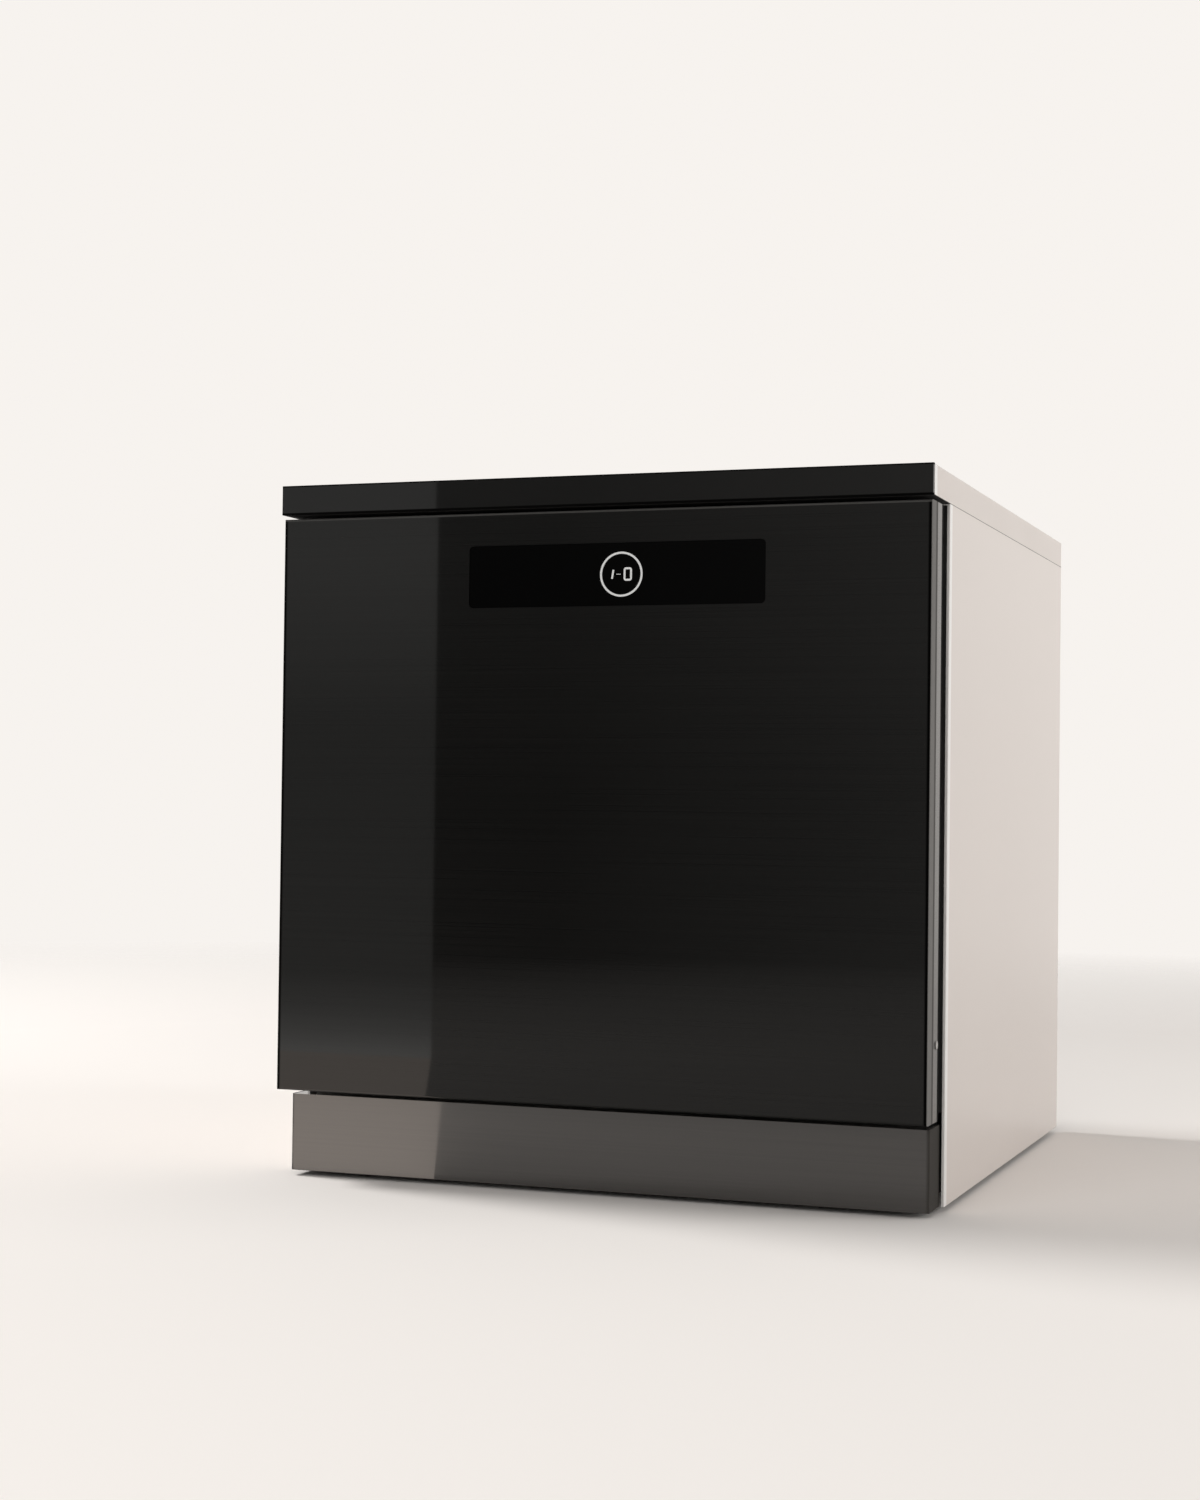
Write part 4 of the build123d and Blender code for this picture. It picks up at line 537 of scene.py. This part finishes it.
boardLacquer = {
    "pattern": "traces", "scale": (160.0, 160.0, 160.0),
    "dark": (0.010, 0.085, 0.040), "pale": (0.035, 0.17, 0.085),
    "rough": (0.30, 0.42), "bump": 0.2, "depth": 0.0002,
}
dress(["control_board"], makeFinish("boardLacquer", boardLacquer))


# plain on and off marks on the round key
marks = {
    "centre": (0.0262, 0.5388),  # x and z of the key, metres
    "face": -0.3122,  # the key's front face
    "proud": 0.00012,
    "barWidth": 0.0016, "barHeight": 0.0078, "barOffset": -0.0078, "barLean": 9.0,  # degrees
    "dashWidth": 0.0005, "dashLength": 0.0040, "dashOffset": -0.0024,
    "stroke": 0.0017, "loopWidth": 0.0076, "loopHeight": 0.0116, "loopOffset": 0.0060,
    "loopCorner": 0.0022, "cornerSegments": 5,
}


def addLoop(shape, x, spec):  # made first, while its outline is the only face
    verts = bmesh.ops.create_grid(shape, x_segments=1, y_segments=1, size=0.5)["verts"]
    bmesh.ops.scale(shape, vec=(spec["loopWidth"], spec["loopHeight"], 1.0), verts=verts)
    bmesh.ops.rotate(shape, cent=(0, 0, 0), matrix=Matrix.Rotation(math.radians(90), 3, "X"), verts=verts)
    place = Vector((spec["centre"][0] + x, spec["face"] - spec["proud"], spec["centre"][1]))
    bmesh.ops.translate(shape, vec=place, verts=verts)
    bmesh.ops.bevel(shape, geom=verts, offset=spec["loopCorner"], offset_type="OFFSET",
                    segments=spec["cornerSegments"], profile=0.5, affect="VERTICES", material=-1)
    outline = list(shape.faces)
    rim = bmesh.ops.inset_individual(shape, faces=outline, thickness=spec["stroke"])["faces"]
    bmesh.ops.delete(shape, geom=outline, context="FACES_ONLY")
    pushed = bmesh.ops.extrude_face_region(shape, geom=rim)["geom"]
    moved = [item for item in pushed if isinstance(item, bmesh.types.BMVert)]
    bmesh.ops.translate(shape, vec=(0, spec["proud"], 0), verts=moved)


def addBar(shape, x, width, height, lean, spec):
    verts = bmesh.ops.create_cube(shape, size=1.0)["verts"]
    place = Vector((spec["centre"][0] + x, spec["face"] - spec["proud"] / 2, spec["centre"][1]))
    bmesh.ops.scale(shape, vec=(width, spec["proud"], height), verts=verts)
    bmesh.ops.rotate(shape, cent=(0, 0, 0), matrix=Matrix.Rotation(math.radians(lean), 3, "Y"), verts=verts)
    bmesh.ops.translate(shape, vec=place, verts=verts)


def makeMarks(spec):
    shape = bmesh.new()
    addLoop(shape, spec["loopOffset"], spec)
    addBar(shape, spec["barOffset"], spec["barWidth"], spec["barHeight"], spec["barLean"], spec)
    addBar(shape, spec["dashOffset"], spec["dashLength"], spec["dashWidth"], 0.0, spec)
    bmesh.ops.recalc_face_normals(shape, faces=shape.faces)
    mesh = bpy.data.meshes.new("key_marks")
    shape.to_mesh(mesh)
    shape.free()
    piece = bpy.data.objects.new("key_marks", mesh)
    bpy.context.collection.objects.link(piece)
    mesh.materials.append(ringMaterial)
    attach(piece, "power_button")


makeMarks(marks)
print("display finished")


# studio
def stagePiece(name, shape, material):
    mesh = bpy.data.meshes.new(name)
    shape.to_mesh(mesh)
    shape.free()
    mesh.materials.append(material)
    piece = bpy.data.objects.new(name, mesh)
    bpy.context.collection.objects.link(piece)
    return piece


def mirrorOnly(piece):  # seen in the machine's gloss and nowhere else
    piece.visible_camera = False
    piece.visible_shadow = False
    piece.visible_diffuse = False


def emptyMaterial(name):
    material = bpy.data.materials.new(name)
    material.use_nodes = True
    material.node_tree.nodes.clear()
    return material, material.node_tree


def addGlow(tree, colour, level):
    glow = addNode(tree, "ShaderNodeEmission")
    plug(tree, colour, glow.inputs["Color"])
    plug(tree, level, glow.inputs["Strength"])
    plug(tree, glow.outputs[0], addNode(tree, "ShaderNodeOutputMaterial").inputs["Surface"])


floorSetup = {
    "colour": (0.93, 0.885, 0.845), "rough": 0.75,
    "reach": 4.0, "segments": 96,
    "fade": (1.5, 3.6),  # melts into the backdrop between these distances
}


def makeFloor(spec):
    material = bpy.data.materials.new("paleFloor")
    material.use_nodes = True
    tree = material.node_tree
    shader = tree.nodes["Principled BSDF"].inputs
    place = addNode(tree, "ShaderNodeTexCoord").outputs["Object"]
    away = vectorMaths(tree, "LENGTH", "Value", place)
    plug(tree, opaque(spec["colour"]), shader["Base Color"])
    plug(tree, spec["rough"], shader["Roughness"])
    plug(tree, 0.0, shader["Specular IOR Level"])
    plug(tree, remap(tree, away, spec["fade"], (1.0, 0.0)), shader["Alpha"])
    shape = bmesh.new()
    bmesh.ops.create_circle(shape, cap_ends=True, segments=spec["segments"], radius=spec["reach"])
    stagePiece("floor", shape, material)


cardSetup = {  # stands on the left and shows as the brighter band on the door
    "x": (-0.90, -0.590), "y": -1.313, "z": (0.0, 1.4),
    "steps": ((0.0, 2.6), (0.03, 1.7), (0.06, 1.15), (0.11, 0.68), (0.44, 0.65), (0.54, 0.90),
              (0.66, 1.15)),  # height and level; the ramp's own last stop stays white
    "tint": (1.0, 0.985, 0.95),
}


def makeCard(spec):
    material, tree = emptyMaterial("softCard")
    place = addNode(tree, "ShaderNodeTexCoord").outputs["Object"]
    ramp = addNode(tree, "ShaderNodeValToRGB")
    plug(tree, splitVector(tree, place)["Z"], ramp.inputs[0])
    stops = ramp.color_ramp.elements
    for step, (height, level) in enumerate(spec["steps"]):
        stop = stops[0] if step == 0 else stops.new(height)
        stop.position = height
        stop.color = opaque(level * share for share in spec["tint"])
    addGlow(tree, ramp.outputs[0], 1.0)
    shape = bmesh.new()
    verts = bmesh.ops.create_grid(shape, x_segments=1, y_segments=1, size=0.5)["verts"]
    (left, right), (foot, top) = spec["x"], spec["z"]
    upright = Matrix.Rotation(math.radians(-90), 3, "X")
    bmesh.ops.scale(shape, vec=(right - left, top - foot, 1.0), verts=verts)
    bmesh.ops.rotate(shape, cent=(0, 0, 0), matrix=upright, verts=verts)
    bmesh.ops.translate(shape, vec=((left + right) / 2, spec["y"], (foot + top) / 2), verts=verts)
    mirrorOnly(stagePiece("soft_card", shape, material))


patchSetup = {  # lies before the machine and shows as the brighter foot of that band
    "corners": ((-0.165, -0.318), (-0.590, -1.313), (-1.00, -1.313), (-0.55, -0.318)), "height": 0.0005,
    "level": 2.7, "tint": (1.0, 0.88, 0.79),
}


def makePatch(spec):
    material, tree = emptyMaterial("sunPatch")
    addGlow(tree, opaque(spec["tint"]), spec["level"])
    shape = bmesh.new()
    shape.faces.new([shape.verts.new((x, y, spec["height"])) for x, y in spec["corners"]])
    bmesh.ops.recalc_face_normals(shape, faces=shape.faces)
    mirrorOnly(stagePiece("sun_patch", shape, material))


lampAim = (0.0, 0.0, 0.3)
lamps = {
    "key": {"place": (-4.2, 0.3, 3.7), "size": 1.5, "power": 200.0},
    "sideFill": {"place": (3.2, 0.6, 1.0), "size": 1.8, "power": 40.0},
    "frontFill": {"place": (-0.2, -3.4, 1.6), "size": 2.6, "power": 37.0},
}


def makeLamp(name, spec):
    data = bpy.data.lights.new(name, "AREA")
    data.shape = "DISK"
    data.size = spec["size"]
    data.energy = spec["power"]
    lamp = bpy.data.objects.new(name, data)
    place = Vector(spec["place"])
    turn = (Vector(lampAim) - place).to_track_quat("-Z", "Y").to_matrix().to_4x4()
    lamp.matrix_world = Matrix.Translation(place) @ turn
    bpy.context.collection.objects.link(lamp)
    lamp.visible_glossy = False


worldSetup = {
    "backdrop": (0.93, 0.895, 0.86),  # what the camera sees behind the machine
    "fillColour": (1.0, 0.985, 0.97), "fill": 0.34,
    "frontDim": 0.11, "backDim": 0.65, "dimSpan": (-0.25, 0.25),  # share seen in gloss, ahead and behind
    "sideLift": 0.42, "sideSpan": (-0.36, -0.21),  # more of it ahead on the right
    "topLift": 0.20, "topSpan": (0.0, 0.13),  # a little more of it in what leans upwards
}


def addBackground(tree, colour, level):
    background = addNode(tree, "ShaderNodeBackground")
    plug(tree, opaque(colour), background.inputs["Color"])
    plug(tree, level, background.inputs["Strength"])
    return background.outputs[0]


def mixedShaders(tree, share, a, b):
    mix = addNode(tree, "ShaderNodeMixShader")
    for socket, value in zip(mix.inputs, (share, a, b)):
        plug(tree, value, socket)
    return mix.outputs[0]


def makeWorld(spec):
    world = bpy.data.worlds.new("studioWorld")
    bpy.context.scene.world = world
    world.use_nodes = True
    tree = world.node_tree
    tree.nodes.clear()
    x, y, z = splitVector(tree, addNode(tree, "ShaderNodeTexCoord").outputs["Generated"])
    level = remap(tree, y, spec["dimSpan"], (spec["frontDim"], spec["backDim"]))
    level = maths(tree, "ADD", level, remap(tree, z, spec["topSpan"], (0.0, spec["topLift"])))
    level = maths(tree, "ADD", level, remap(tree, x, spec["sideSpan"], (0.0, spec["sideLift"])))
    seen = addBackground(tree, spec["backdrop"], 1.0)
    fill = addBackground(tree, spec["fillColour"], spec["fill"])
    mirrored = addBackground(tree, spec["backdrop"], level)
    path = addNode(tree, "ShaderNodeLightPath").outputs
    shiny = maths(tree, "MAXIMUM", path["Is Glossy Ray"], path["Is Transmission Ray"])
    unseen = mixedShaders(tree, shiny, fill, mirrored)
    whole = mixedShaders(tree, path["Is Camera Ray"], unseen, seen)
    plug(tree, whole, addNode(tree, "ShaderNodeOutputWorld").inputs["Surface"])


makeFloor(floorSetup)
makeCard(cardSetup)
makePatch(patchSetup)
for name, spec in lamps.items():
    makeLamp(name, spec)
makeWorld(worldSetup)
bpy.context.scene.view_settings.view_transform = "Standard"
print("studio lit")
